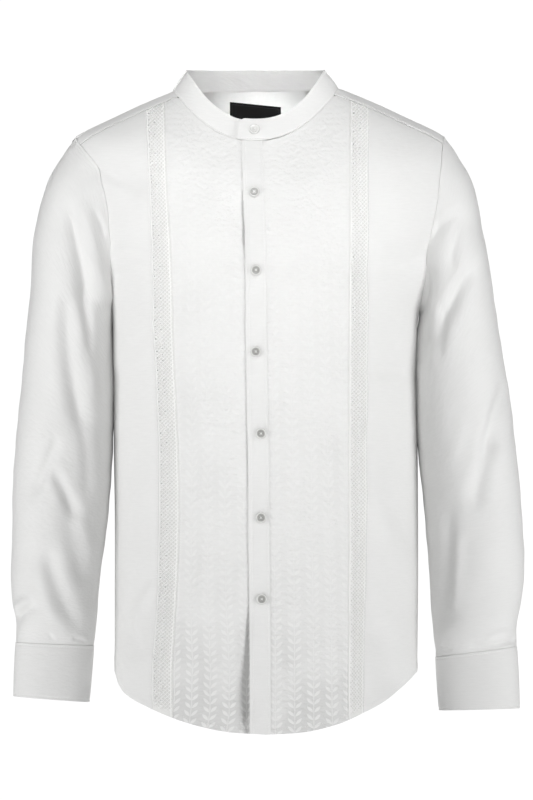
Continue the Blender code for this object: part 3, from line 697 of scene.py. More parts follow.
def newTree(name, inputs):
    tree = bpy.data.node_groups.new(name, "GeometryNodeTree")
    tree.is_modifier = True
    for label, kind in {"Paths": "Geometry", **inputs}.items():
        tree.interface.new_socket(label, in_out="INPUT", socket_type=f"NodeSocket{kind}")
    tree.interface.new_socket("Made", in_out="OUTPUT", socket_type="NodeSocketGeometry")
    given = addNode(tree.nodes, "NodeGroupInput").outputs
    return tree, given, addNode(tree.nodes, "GeometryNodeMeshToCurve", {"Mesh": given["Paths"]})


def endTree(tree, made, look):
    real = addNode(tree.nodes, "GeometryNodeRealizeInstances", {"Geometry": made})
    smooth = addNode(tree.nodes, "GeometryNodeSetShadeSmooth", {"Geometry": real})
    finish = addNode(tree.nodes, "GeometryNodeSetMaterial", {"Geometry": smooth, "Material": look})
    addNode(tree.nodes, "NodeGroupOutput", {"Made": finish})
    return tree


def cordTree():
    # Turns each path into a round cord.
    inputs = {"Radius": "Float", "Sides": "Int", "Finish": "Material"}
    tree, given, curves = newTree("cord along a path", inputs)
    size = {"Resolution": given["Sides"], "Radius": given["Radius"]}
    section = addNode(tree.nodes, "GeometryNodeCurvePrimitiveCircle", size)
    inputs = {"Curve": curves, "Profile Curve": section, "Fill Caps": True}
    return endTree(tree, addNode(tree.nodes, "GeometryNodeCurveToMesh", inputs), given["Finish"])


def stitchTree():
    # Lays small thread bumps along each path, one to a stitch.
    inputs = {"Pitch": "Float", "Length": "Float", "Radius": "Float", "Finish": "Material"}
    tree, given, curves = newTree("row of stitches", inputs)
    nodes = tree.nodes
    inputs = {"Curve": curves, "Length": given["Pitch"]}
    spaced = addNode(nodes, "GeometryNodeResampleCurve", inputs, mode="LENGTH")
    half = addNode(nodes, "ShaderNodeMath", [given["Length"], 0.5], operation="MULTIPLY")
    size = addNode(nodes, "ShaderNodeCombineXYZ", [given["Radius"], given["Radius"], half])
    grain = addNode(nodes, "GeometryNodeMeshUVSphere", {"Segments": 6, "Rings": 4, "Radius": 1.0})
    way = addNode(nodes, "GeometryNodeInputTangent")
    turned = addNode(nodes, "FunctionNodeAlignRotationToVector", {"Vector": way}, axis="Z")
    inputs = {"Points": spaced, "Instance": grain, "Rotation": turned, "Scale": size}
    return endTree(tree, addNode(nodes, "GeometryNodeInstanceOnPoints", inputs), given["Finish"])


def makeTrim(name, tree, paths, slotName, **values):
    # Runs a tree over paths and keeps its result as a plain mesh; points and sizes are in millimetres.
    points, edges = [], []
    for path, closed in paths:
        first = len(points)
        points.extend(np.asarray(path) * mm)
        edges.extend((first + i, first + i + 1) for i in range(len(path) - 1))
        if closed:
            edges.append((first + len(path) - 1, first))
    guide = bpy.data.meshes.new(f"{name} paths")
    guide.from_pydata([tuple(p) for p in points], edges, [])
    holder = addObject(f"{name} paths", guide)
    nodes = holder.modifiers.new("paths", "NODES")
    nodes.node_group = tree
    for socket in tree.interface.items_tree:
        if socket.in_out == "INPUT" and socket.name in values:
            value = values[socket.name]
            nodes[socket.identifier] = value * mm if isinstance(value, float) else value
    mesh = takeMesh(holder)
    mesh.name = name
    made = addObject(name, mesh)
    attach(made, "root")


def gridFaces(rows, columns, closed=False, turned=False):
    faces = []
    for j in range(rows - 1):
        for i in range(columns if closed else columns - 1):
            k = (i + 1) % columns
            corners = [j * columns + i, (j + 1) * columns + i]
            corners += [(j + 1) * columns + k, j * columns + k]
            faces.append(corners[::-1] if turned else corners)
    return faces


def gridUv(grid):
    # Distances across and down the cloth, in millimetres.
    across = np.linalg.norm(np.diff(grid, axis=1), axis=-1)
    across = np.concatenate([np.zeros((len(grid), 1)), np.cumsum(across, axis=1)], axis=1)
    return np.stack([across, grid[..., 2]], axis=-1)


def clothArea(grid):
    a, b, c, d = grid[:-1, :-1], grid[1:, :-1], grid[1:, 1:], grid[:-1, 1:]
    halves = np.linalg.norm(np.cross(b - a, c - a), axis=-1)
    halves = halves + np.linalg.norm(np.cross(c - a, d - a), axis=-1)
    return float(halves.sum() / 2)


def clothSheet(name, grid, look, thickness, edge=0.0, closed=False, turned=False, uv=None):
    faces = gridFaces(*grid.shape[:2], closed, turned)
    if uv is None:
        uv = gridUv(grid)
    return newObject(name, grid.reshape(-1, 3), faces, look, uv.reshape(-1, 2), thickness, edge)


def asCloth(made, node):
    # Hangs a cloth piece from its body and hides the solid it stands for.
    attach(made, "root")
    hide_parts(node)


# How cloth is worked at an edge, as heights over its distance from the edge in millimetres. A step is
# how far past the stitches the doubled cloth ends and the breadth over which it does.
seamLook = {
    "dip": 0.22,
    "dipBreadth": 0.7,
    "under": 0.3,
    "fellStep": (0.8, 1.6),
    "hemStep": (1.0, 1.4),
    "hemStitch": 6.0,
    "stitchDip": 0.2,
    "stitchBreadth": 0.7,
    "pucker": 0.3,
    "puckerAt": 4.2,  # mm from the edge
    "puckerBreadth": 5.0,
    "puckerSlant": 0.6,
    "puckerWave": 5.3,
    "puckerDrift": (1.8, 17),  # how far and over what length the waves stray, so that no two are alike
}


def sewnEdge(distance):
    return -seamLook["dip"] * bump(distance, seamLook["dipBreadth"])


def stitchedEdge(distance, stitchAt, step):
    past, breadth = seamLook[step]
    doubled = seamLook["under"] * ease((stitchAt + past - distance) / breadth)
    return doubled - seamLook["stitchDip"] * bump(distance - stitchAt, seamLook["stitchBreadth"])


def felledEdge(distance, stitchAt):
    return stitchedEdge(distance, stitchAt, "fellStep") + sewnEdge(distance)


def hemmedEdge(distance, along=0.0):
    # Has small slanting puckers, as a turned curve draws up.
    look = seamLook
    stray, length = look["puckerDrift"]
    slanted = (along + look["puckerSlant"] * distance) / look["puckerWave"]
    pucker = np.sin(slanted + stray * np.sin(along / length))
    drawn = look["pucker"] * pucker * bump(distance - look["puckerAt"], look["puckerBreadth"])
    return stitchedEdge(distance, look["hemStitch"], "hemStep") + drawn


edgeStations = (0, 0.5, 1.0, 1.6, 2.3, 3.2, 4.2, 5.0, 5.6, 6.3, 7.2, 8.6, 10.4)


def stations(length, pitch):
    # Shares from 0 to 1 of a length in millimetres, close together near both ends.
    ends = np.array([s for s in edgeStations if s < length * 0.4])
    count = max(int((length - 2 * ends[-1]) / pitch), 2)
    inner = np.linspace(ends[-1], length - ends[-1], count + 1)[1:-1]
    return np.concatenate([ends, inner, (length - ends)[::-1]]) / length


# Heights are found by repeating a guess: where it starts, and how often for the top and the hem.
guess = {"top": -30.0, "hem": -740.0, "topPasses": 30, "hemPasses": 10}
panelLook = {"cloth": 0.6, "gap": 0.1, "frontLength": 700, "frontPitch": (3.2, 4.0)}


def hemEdge(near, far, share):
    bottom = np.full(len(share), guess["hem"])
    for _ in range(guess["hemPasses"]):
        bottom = hem(mix(near(bottom), far(bottom), share))
    return bottom


def gaps(point):
    # Distances of a grid's points from its first and its last column.
    return [np.linalg.norm(point - point[:, column], axis=-1) for column in (slice(0, 1), slice(-1, None))]


def slopeOf(edge, row):
    # How much longer a slanting edge is than its run across.
    return np.hypot(1, np.gradient(edge) / np.gradient(row[:, 0]))


def frontGrid(near, far, width, relief, pitch=panelLook["frontPitch"][0]):
    # Points of a front piece between two edges, given as angles by height.
    share = stations(width, pitch)
    top = np.full(len(share), guess["top"])
    for _ in range(guess["topPasses"]):
        angle = mix(near(top), far(top), share)
        top = frontTop(bodyX(angle, top)) - panelLook["gap"]
    bottom = hemEdge(near, far, share)
    z = mix(top, bottom, stations(panelLook["frontLength"], panelLook["frontPitch"][1])[:, None])
    angle = mix(near(z), far(z), share)
    point = body(angle, z)
    fromHem = (z - bottom) / slopeOf(bottom, point[-1])
    fromTop = (top - z) / slopeOf(top, point[0])
    return body(angle, z, relief(*gaps(point), fromTop, fromHem) if relief else 0.0)


def byX(xAt, gap=0.0):
    return lambda z: frontAngle(xAt(z) + gap, z)


def seamAngle(z):
    # The edge at the armhole and the side seam, in degrees from the middle front.
    inside = np.degrees(panelLook["gap"] / 2 / halfWidth(z))
    return np.where(z > armholeCut["pit"], armholeAngle(z), 90) - inside


def sideEdge(side):
    return lambda z: side * seamAngle(z)


def backEdge(side):
    return lambda z: 180 - side * seamAngle(z)


def placketEdge(side, inside=0.0):
    return byX(lambda z: placketMiddle(z) + side * (placketCut["width"] / 2 - inside))


placketLook = {
    "cloth": 1.1,
    "edge": 0.35,
    "pitch": 1.6,
    "stitchDip": 0.35,
    "stitchBreadth": 0.8,
    "swell": 0.25,
    "freeLift": 1.35,
    "sewnLift": 0.87,
    "gapColumns": ("fromTop", "depth", "breadth"),
    "gap": (
        (0, 0.2, 1.5),
        (55, 0.3, 2),
        (75, 2.8, 3.5),
        (118, 3.6, 4.5),
        (150, 0.3, 2.2),
        (300, 0.2, 2.4),
        (360, 1.0, 2.6),
        (430, 0.3, 3),
        (540, 0.5, 3),
        (580, 7, 9),
        (620, 14, 17),
        (665, 12, 16),
        (695, 2, 5),
    ),
}


def makeFronts(looks):
    half = panelLook["gap"] / 2
    under = placketCut["underEdge"]

    def sideRelief(tapeFirst):
        def relief(fromNear, fromFar, fromTop, fromHem):
            toTape, toSide = (fromNear, fromFar) if tapeFirst else (fromFar, fromNear)
            sewn = sewnEdge(toTape) + sewnEdge(toSide) + sewnEdge(fromTop)
            return sewn + hemmedEdge(fromHem, fromNear)

        return relief

    def centreRelief(tapeFirst):
        def relief(fromNear, fromFar, fromTop, fromHem):
            toTape = fromNear if tapeFirst else fromFar
            sewn = felledEdge(toTape, 2.4) + sewnEdge(fromTop) + hemmedEdge(fromHem, fromNear)
            if not tapeFirst:
                return sewn
            # the right front sinks away beside the free edge of the placket
            down, depths, breadths = zip(*placketLook["gap"])
            sunk = ease(1 - (fromFar - under) / np.interp(fromTop, down, breadths))
            return sewn - np.interp(fromTop, down, depths) * sunk

        return relief

    away = {"rightOuter": -half, "rightInner": half, "leftInner": -half, "leftOuter": half}
    tapes = {name: byX(tapeEdge[name], gap) for name, gap in away.items()}
    lap = {(side, way): placketEdge(side, under + way * half) for side in (-1, 1) for way in (-1, 1)}
    # each piece, its two edges, its width, its relief and its finish
    pieces = (
        ("side_front_right", sideEdge(-1), tapes["rightOuter"], 75, sideRelief(False), "cotton"),
        ("centre_front_right", tapes["rightInner"], lap[-1, -1], 88, centreRelief(True), "jacquard"),
        ("button_stand", lap[-1, 1], lap[1, 1], 25, None, "band_cotton"),
        ("centre_front_left", lap[1, -1], tapes["leftInner"], 88, centreRelief(False), "jacquard"),
        ("side_front_left", tapes["leftOuter"], sideEdge(1), 80, sideRelief(True), "cotton"),
    )
    for name, near, far, width, relief, slotName in pieces:
        grid = frontGrid(near, far, width, relief)
        # the leaf pattern is counted from the placket on both fronts
        uv = gridUv(grid[:, ::-1])[:, ::-1] if name == "centre_front_right" else gridUv(grid)
        piece = clothSheet(f"{name}_cloth", grid, looks[slotName], panelLook["cloth"], uv=uv)
        if slotName == "jacquard":
            addLeafUv(piece.data, uv.reshape(-1, 2))
        asCloth(piece, name)


def makePlacket(looks):
    look = placketLook

    def relief(fromNear, fromFar, fromTop, fromHem):
        share = fromNear / np.maximum(fromNear + fromFar, 1)
        lift = mix(look["freeLift"], look["sewnLift"], share)
        rows = zip((fromNear, fromFar), stitchLook["placket"])
        stitched = sum(bump(distance - row, look["stitchBreadth"]) for distance, row in rows)
        return lift - look["stitchDip"] * stitched + look["swell"] * np.sin(share * math.pi)

    grid = frontGrid(placketEdge(-1), placketEdge(1), placketCut["width"], relief, look["pitch"])
    made = clothSheet("placket_cloth", grid, looks["band_cotton"], look["cloth"], look["edge"])
    asCloth(made, "placket")


backLook = {"width": (360, 4.0), "length": (660, 4.5), "hemLength": 400}


def makeBack(looks):
    look, near, far = backLook, backEdge(1), backEdge(-1)
    share = stations(*look["width"])
    top = np.full(len(share), yokeCut["backSeam"] - panelLook["gap"])
    bottom = hemEdge(near, far, share)
    z = mix(top, bottom, stations(*look["length"])[:, None])
    angle = mix(near(z), far(z), share)
    point = body(angle, z)
    fromHem = (z - bottom) / slopeOf(bottom, point[-1])
    relief = sewnEdge(np.minimum(*gaps(point))) + sewnEdge(top - z)
    grid = body(angle, z, relief + hemmedEdge(fromHem, share * look["hemLength"]))
    made = clothSheet("back_cloth", grid, looks["cotton"], panelLook["cloth"])
    asCloth(made, "back")


yokeLook = {
    "middleColumns": 56,
    "back": (92, 4.0),  # mm down and between rows; the rows stand closer towards the shoulder
    "closer": 1.35,
    "strap": (122, 3.8),
    "frontRows": (0.04, 0.12, 0.24, 0.38, 0.52, 0.66, 0.78, 0.88, 0.95, 1),
    "backPasses": 20,
    "flat": (0.46, 0.25),
}


def makeYoke(looks):
    # One piece over both shoulders and across the back, open at the neck.
    look, gap = yokeLook, panelLook["gap"]
    seam, reach = yokeCut["backSeam"], neckCut["halfWidth"]
    rise = 1 - (1 - stations(*look["back"])[:, None]) ** look["closer"]
    strap = stations(*look["strap"])[None]
    count = strap.shape[1]
    across = np.linspace(0, 1, look["middleColumns"] + 1)[None, 1:-1]
    neckX = {side: neckCut["middle"] + side * (reach + gap) for side in (-1, 1)}
    x = mix(neckX[-1], neckX[1], across) + 0 * rise
    xParts, zParts = [x], [mix(seam, neckBackHeight(x) - gap, rise)]
    for side in (-1, 1):
        z = np.full((len(rise), count), float(seam))
        for _ in range(look["backPasses"]):
            x = mix(bodyX(sideEdge(side)(z), z), neckX[side], strap)
            z = mix(seam, ridge(x), rise)
        for parts, part in ((xParts, x), (zParts, z)):
            parts.insert(0 if side < 0 else len(parts), part if side < 0 else part[:, ::-1])
    backX, backZ = np.concatenate(xParts, axis=1), np.concatenate(zParts, axis=1)
    backPoint = body(180 - frontAngle(backX, backZ), backZ, sewnEdge(backZ - seam))
    rows, columns = backX.shape
    points = [backPoint.reshape(-1, 3)]
    flat = [np.stack([backX, backZ], axis=-1).reshape(-1, 2)]
    faces = gridFaces(rows, columns)
    drop = ((yokeCut["frontDrop"] - gap) * np.array(look["frontRows"]))[:, None]
    area = clothArea(backPoint)
    for side in (-1, 1):
        z = np.full((len(drop), count), guess["top"])
        for _ in range(guess["topPasses"]):
            off = np.maximum((z - neckCut["sideHeight"]) / neckCut["drop"] + 1, 0)
            off = np.minimum(off ** (1 / neckCut["power"]), 1)
            nearNeck = neckCut["middle"] + side * (reach * off + gap)
            x = mix(bodyX(sideEdge(side)(z), z), nearNeck, strap)
            z = ridge(x) - drop
        fromSeam = yokeCut["frontDrop"] - drop + 0 * x
        front = body(frontAngle(x, z), z, felledEdge(fromSeam * 2.2, 6.0))
        first = sum(len(p) for p in points)
        points.append(front.reshape(-1, 3))
        flat.append(np.stack([x, z], axis=-1).reshape(-1, 2))
        # the front's first row hangs from the back's last
        topRow = (rows - 1) * columns + (np.arange(count) if side < 0 else columns - 1 - np.arange(count))
        allRows = np.concatenate([topRow[None], first + np.arange(len(drop) * count).reshape(-1, count)])
        for upper, lower in zip(allRows, allRows[1:]):
            for i in range(count - 1):
                corners = [upper[i], lower[i], lower[i + 1], upper[i + 1]]
                faces.append([int(c) for c in (corners[::-1] if side < 0 else corners)])
        area += clothArea(front)
    made = newObject(
        "yoke_cloth", np.concatenate(points), faces, looks["cotton"], np.concatenate(flat), panelLook["cloth"]
    )
    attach(made, "root")
    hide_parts("yoke")


def neckPoint(turn):
    # The neckline's loop; turn goes from the middle front by way of the left, in degrees.
    sine, cosine = np.sin(np.radians(turn)), np.cos(np.radians(turn))
    x = neckCut["middle"] + neckCut["halfWidth"] * sine
    inFront = cosine > 0
    z = np.where(inFront, neckHeight(x), neckBackHeight(x))
    angle = frontAngle(x, z)
    return body(np.where(inFront, angle, 180 - angle), z)


bandLook = {
    "halfWidth": 81.5,
    "height": 30,
    "top": 25.5,
    "drop": 60.5,
    "power": 2.4,
    "lean": 0.8,
    "overEnd": -13,  # degrees round the neck from the middle front
    "underEnd": 366,
    "columns": 260,
    "firstColumns": (0, 0.15, 0.35, 0.6, 0.9, 1.2),  # degrees from the over end, for its round corner
    "pitch": 2.2,
    "lift": 2.1,
    "liftFade": (45, 33),  # where the lift ends and the breadth over which it goes, in degrees
    "flush": 0.35,
    "underSink": 1.5,
    "sinkFade": (332, 12),
    "belly": 0.5,
    "limp": 0.4,
    "stand": 0.15,
    "corner": 9,
    "stitchRows": (2.4, 27.2),
    "stitchDip": 0.3,
    "cloth": 1.3,
    "edge": 0.4,
}


def bandTopPoint(turn):
    look = bandLook
    sine = np.sin(np.radians(turn))
    drop = np.where(np.cos(np.radians(turn)) > 0, 1 - np.abs(sine) ** look["power"], 0)
    x = neckCut["middle"] + look["halfWidth"] * sine
    y = neckPoint(turn)[..., 1] * look["lean"]
    return np.stack([x, y, look["top"] - look["drop"] * drop], axis=-1)


def bandLift(turn):
    (overTo, overFade), (underFrom, underFade) = bandLook["liftFade"], bandLook["sinkFade"]
    over = bandLook["lift"] * ease((overTo - turn) / overFade)
    return over - bandLook["flush"] - bandLook["underSink"] * ease((turn - underFrom) / underFade)


def bandRow(share):
    # The path of a row of stitches round the outside of the band.
    turn = np.linspace(bandLook["overEnd"] + 1.5, 345, 240)
    bottom, top = neckPoint(turn), bandTopPoint(turn)
    path = mix(bottom, top, share)
    out = unit(np.cross(np.gradient(path, axis=0), top - bottom))
    return path + out * (bandLift(turn)[:, None] + bandLook["cloth"] / 2 - 0.15), False


def makeBand(looks):
    look = bandLook
    turn = np.linspace(look["overEnd"], look["underEnd"], look["columns"])
    turn = np.concatenate([look["overEnd"] + np.array(look["firstColumns"]), turn[2:]])
    bottom, top = neckPoint(turn), bandTopPoint(turn)
    bottom = bottom + unit(top - bottom) * look["stand"]
    fromEnd = np.linalg.norm(bottom - bottom[0], axis=-1)
    into = np.where(turn < 90, np.clip(1 - fromEnd / look["corner"], 0, 1), 0)
    heightShare = 1 - (1 - np.sqrt(1 - into**2)) * look["corner"] / look["height"]
    share = stations(look["height"], look["pitch"])[:, None] * heightShare[None]
    grid = mix(bottom[None], top[None], share[..., None])
    out = unit(np.cross(np.gradient(grid, axis=1), (top - bottom)[None] + 0 * grid))
    around, risen = np.radians(turn)[None], np.sin(share * math.pi)
    # two waves round the back, where the band is limp
    limp = np.sin(around * 9 + share * 2.5) + 0.7 * np.sin(around * 17 - share * 3.5 + 1)
    belly = look["belly"] * risen + look["limp"] * limp * ease(-np.cos(around) + 0.6) * risen
    stitched = sum(bump(share * look["height"] - row, 0.7) for row in look["stitchRows"])
    grid = grid + out * (bandLift(turn)[None] + belly - look["stitchDip"] * stitched)[..., None]
    made = clothSheet(
        "collar_band_cloth", grid, looks["band_cotton"], look["cloth"], look["edge"], turned=True
    )
    asCloth(made, "collar_band")


def sleeveRow(side, t):
    rows = sleeveCut[side]
    numbered = [(i / (len(rows) - 1), *row) for i, row in enumerate(rows)]
    columns = ("share", *sleeveCut["columns"])
    return [curve(columns, numbered, "share", name)(t) for name in sleeveCut["columns"]]


def oval(row, turn):
    # Points of a sleeve's section; turn goes from its outer side by way of the front.
    outerX, outerZ, innerX, innerZ, halfDepth, middleY = row
    cosine, sine = np.cos(np.radians(turn)), np.sin(np.radians(turn))
    across = np.sign(cosine) * np.abs(cosine) ** sleeveCut["squareness"]
    deep = np.sign(sine) * np.abs(sine) ** sleeveCut["squareness"]
    x = (outerX + innerX) / 2 + (outerX - innerX) / 2 * across
    z = (outerZ + innerZ) / 2 + (outerZ - innerZ) / 2 * across
    return np.stack(np.broadcast_arrays(x, middleY - halfDepth * deep, z), axis=-1)


def smoothSleeve(side, t, turn):
    point = oval(sleeveRow(side, t), turn)
    shape = armhole(sides[side], turn, 0.3) - oval(sleeveRow(side, 0 * t), turn)
    fade = np.clip(1 - t / sleeveCut["capBlend"], 0, 1) ** 2
    return point + shape * fade[..., None]


sleeveCreases = {
    "right": (
        (-226, -140, -205, -264, 6, 8, -4.0),
        (-214, -150, -196, -214, -4, 5, 2.0),
        (-198, -143, -182, -172, 2, 4, -2.6),
        (-208, -246, -200, -312, 3, 6, -2.4),
        (-196, -250, -190, -330, -3, 5, 1.8),
        (-232, -240, -206, -410, -7, 10, -4.0),
        (-215, -262, -196, -372, 5, 6, 1.6),
        (-212, -390, -204, -486, 3, 7, -1.8),
        (-238, -404, -272, -486, 1, 6, -1.7),
        (-246, -440, -210, -510, -3, 6, -1.7),
        (-254, -450, -226, -520, 3, 7, 1.2),
        (-232, -480, -204, -590, -6, 10, -1.4),
        (-216, -500, -198, -560, 4, 7, 1.0),
        (-252, -530, -217, -634, -6, 9, -1.4),
        (-262, -560, -236, -634, -4, 7, 1.2),
        (-293, -627, -268, -609, 3, 4, -3.4),
        (-292, -618, -272, -600, 2, 5, 1.5),
        (-222, -648, -206, -652, 1, 3, -1.6),
        (-250, -640, -244, -655, 1, 3, -1.0),
    ),
    "left": (
        (204, -166, 238, -144, 3, 5, -2.2),
        (241, -154, 226, -211, -4, 6, -2.4),
        (260, -192, 246, -224, 3, 7, 1.2),
        (262, -198, 203, -306, -9, 9, -4.6),
        (246, -205, 214, -262, -5, 6, 2.0),
        (198, -215, 193, -322, -4, 5, -2.6),
        (206, -240, 202, -330, 2, 5, 1.5),
        (296, -340, 268, -440, -5, 10, -3.8),
        (281, -352, 264, -408, -3, 7, 1.6),
        (276, -404, 250, -500, -3, 9, -2.4),
        (222, -498, 216, -622, 3, 7, -2.0),
        (236, -520, 230, -610, -3, 8, 1.3),
        (255, -660, 303, -649, -3, 4, -3.2),
        (262, -650, 300, -640, 2, 5, 1.4),
        (240, -380, 222, -440, 4, 8, 1.2),
        (226, -664, 216, -652, 1, 4, -0.8),
    ),
}
sleeveBackCreases = (
    (234, -168, 211, -264, 6, 7, -2.4),
    (263, -228, 221, -332, -7, 7, -2.6),
    (250, -235, 214, -320, 4, 7, 1.5),
    (286, -358, 231, -442, 8, 7, -2.6),
    (276, -370, 240, -425, 5, 7, 1.4),
    (224, -430, 286, -493, 6, 6, 1.8),
    (230, -448, 276, -500, 5, 5, -2.0),
    (228, -503, 263, -602, -7, 7, -2.4),
    (242, -510, 280, -600, -6, 8, 1.3),
    (270, -560, 292, -630, 3, 6, -1.6),
)


sleeveLook = {
    "creaseGain": 1.1,
    "foldGain": 0.7,
    "length": (600, 4.0),
    "columns": 136,
    "girth": 380,
    "fellAt": 6.0,
    "sideFade": 0.5,  # folds fade out towards the sides, and over these shares of the length at the ends
    "capFade": 0.04,
    "cuffFade": 0.03,
}


def sleeve(side, t, turn, lift=0.0):
    # Points of a sleeve's cloth, moved out by lift, with its folds.
    t, turn = np.broadcast_arrays(np.asarray(t, float), np.asarray(turn, float))
    point = smoothSleeve(side, t, turn)
    down = smoothSleeve(side, np.minimum(t + 0.01, 1), turn)
    down = down - smoothSleeve(side, np.maximum(t - 0.01, 0), turn)
    roundIt = smoothSleeve(side, t, turn + 2) - smoothSleeve(side, t, turn - 2)
    normal = -sides[side] * unit(np.cross(down, roundIt))
    x, z = point[..., 0], point[..., 2]
    look = sleeveLook
    sharp, fade = look["creaseGain"], look["sideFade"]
    ahead = look["foldGain"] * foldHeight(sleeveFrontFolds[side], x, z)
    ahead = ahead + sharp * creaseHeight(sleeveCreases[side], x, z)
    behind = foldHeight(sleeveBackFolds, np.abs(x), z)
    behind = behind + sharp * creaseHeight(sleeveBackCreases, np.abs(x), z)
    facing = np.sin(np.radians(turn))
    folds = ahead * ease(facing / fade) + behind * ease(-facing / fade) + restless(x * 1.3, z)
    ends = ease(t / look["capFade"]) * ease((1 - t) / look["cuffFade"])
    return point + normal * (lift + folds * ends)[..., None]


def makeSleeves(looks):
    look = sleeveLook
    length = look["length"][0]
    t = stations(*look["length"])[:, None]
    turn = np.linspace(0, 360, look["columns"], endpoint=False)[None]
    uv = np.stack(np.broadcast_arrays(turn / 360 * look["girth"], -t * length), axis=-1)
    relief = felledEdge(t * length, look["fellAt"]) + sewnEdge((1 - t) * length)
    for side in sides:
        grid = sleeve(side, t, turn, relief + 0 * turn)
        name, turned = f"sleeve_cloth_{side}", side == "left"
        made = clothSheet(
            name, grid, looks["cotton"], panelLook["cloth"], closed=True, turned=turned, uv=uv
        )
        asCloth(made, f"sleeve_{side}")
        makeSleevePlacket(side, looks)


sleevePlacketLook = {
    "start": 0.745,  # shares of the sleeve's length
    "end": 0.985,
    "length": (150, 4.0),
    "width": (24, 2.0),
    "girth": (330, 90),  # mm round the sleeve at its start, and how much less at the cuff
    "lift": 1.8,
    "angle": 288,
    "cloth": 1.0,
    "edge": 0.3,
}


def makeSleevePlacket(side, looks):
    look = sleevePlacketLook
    t = mix(look["start"], look["end"], stations(*look["length"])[:, None])
    wide, less = look["girth"]
    girth = wide - less * (t - look["start"]) / (1 - look["start"])
    swing = look["width"][0] / girth * 360
    turn = look["angle"] + swing * (stations(*look["width"])[None] - 0.5)
    grid = sleeve(side, t, turn, look["lift"])
    name, turned = f"sleeve_placket_cloth_{side}", side == "left"
    made = clothSheet(name, grid, looks["cotton"], look["cloth"], look["edge"], turned=turned)
    asCloth(made, f"sleeve_placket_{side}")


cuffLook = {
    "left": (306.6, -730.7, 212.4, -733, 31, -27),  # the lower edge's section
    "right": (-291, -716.6, -202.5, -723.3, 31, -27),
    "overEnd": 262,  # degrees round the cuff, from its outer side by way of the front
    "overlap": 32,
    "lift": 2.9,
    "liftFade": 28,
    "stitchAt": 3.2,
    "stitchDip": 0.35,
    "swell": 0.5,
    "wave": 0.35,
    "columns": 150,
    "pitch": 3.0,
    "cloth": 1.9,
    "edge": 0.55,
}


def cuffHeight(side):
    return math.dist(sleeveCut[side][-1][:2], cuffLook[side][:2])


def cuffPoint(side, down, turn):
    top = np.array(sleeveCut[side][-1], float)
    end = np.array(cuffLook[side], float)
    return oval([mix(a, b, down) for a, b in zip(top, end)], turn)


def cuffOut(side, down, turn):
    # A point of the cuff and the way out from it.
    point = cuffPoint(side, down, turn)
    ahead = cuffPoint(side, down, turn + 2) - cuffPoint(side, down, turn - 2)
    fall = cuffPoint(side, down + 0.1, turn) - point
    return point, -sides[side] * unit(np.cross(fall, ahead))


def cuffLift(pastStart):
    fade = cuffLook["liftFade"]
    return cuffLook["lift"] * ease((cuffLook["overlap"] + fade + 2 - pastStart) / fade)


def cuffSurface(side, down, past, extra=0.0):
    # Points of a cuff's cloth at shares down it and at degrees past its over end.
    height, stitchAt = cuffHeight(side), cuffLook["stitchAt"]
    turn = cuffLook["overEnd"] + past
    point, out = cuffOut(side, down, turn)
    inward = bump(down * height - stitchAt, 0.8) + bump((1 - down) * height - stitchAt, 0.8)
    soft = cuffLook["swell"] * np.sin(down * math.pi)
    soft = soft + cuffLook["wave"] * np.sin(np.radians(turn * 3 + 40)) * down
    lift = cuffLift(past) + soft - cuffLook["stitchDip"] * inward + extra
    return point + out * lift[..., None]


def cuffRow(side, lower):
    # The path of a row of stitches beside a cuff's upper or lower edge.
    down = cuffLook["stitchAt"] / cuffHeight(side)
    past = np.linspace(2.5, 345, 150)
    down = (1 - down if lower else down) + 0 * past
    return cuffSurface(side, down, past, cuffLook["cloth"] / 2 + 0.1), False


def makeCuffs(looks):
    look = cuffLook
    for side in sides:
        past = np.linspace(0, 360 + look["overlap"], look["columns"])[None]
        down = mix(0.003, 1, stations(cuffHeight(side), look["pitch"])[:, None])
        grid = cuffSurface(side, down, past)
        name, turned = f"cuff_cloth_{side}", side == "left"
        made = clothSheet(name, grid, looks["band_cotton"], look["cloth"], look["edge"], turned=turned)
        asCloth(made, f"cuff_{side}")


buttonLook = {
    "radius": 6.5,
    "cuffRadius": 5.8,
    "thickness": 2.8,
    "holeRadius": 0.75,
    "holeOut": 1.45,
    "dish": 0.73,
    "threadRadius": 0.55,
    "slot": (2.6, 15.6),  # a buttonhole's breadth and length
    "slotRadius": 0.45,
    "shell": "#dededc",
    # painted shade: the colour of a button's dish, for the shadow in its recess
    "dishPaintedShade": "#a6a6a3",
    "sharp": 40,
    "profile": (  # shares of the radius and of the thickness, from the middle of the back round the rim
        (0, 0),
        (0.72, 0),
        (0.9, 0.12),
        (0.985, 0.4),
        (1, 0.6),
        (0.975, 0.82),
        (0.91, 0.97),
        (0.84, 1),
        (0.77, 0.93),
        (0.71, 0.78),
        (0.66, 0.66),
        (0.5, 0.6),
        (0, 0.58),
    ),
    "places": (  # across and up
        (-6.5, -48.4),
        (-6.7, -121.4),
        (-4.6, -213.2),
        (-4.8, -308.5),
        (1.2, -405),
        (1.4, -504),
        (2.2, -600),
    ),
}


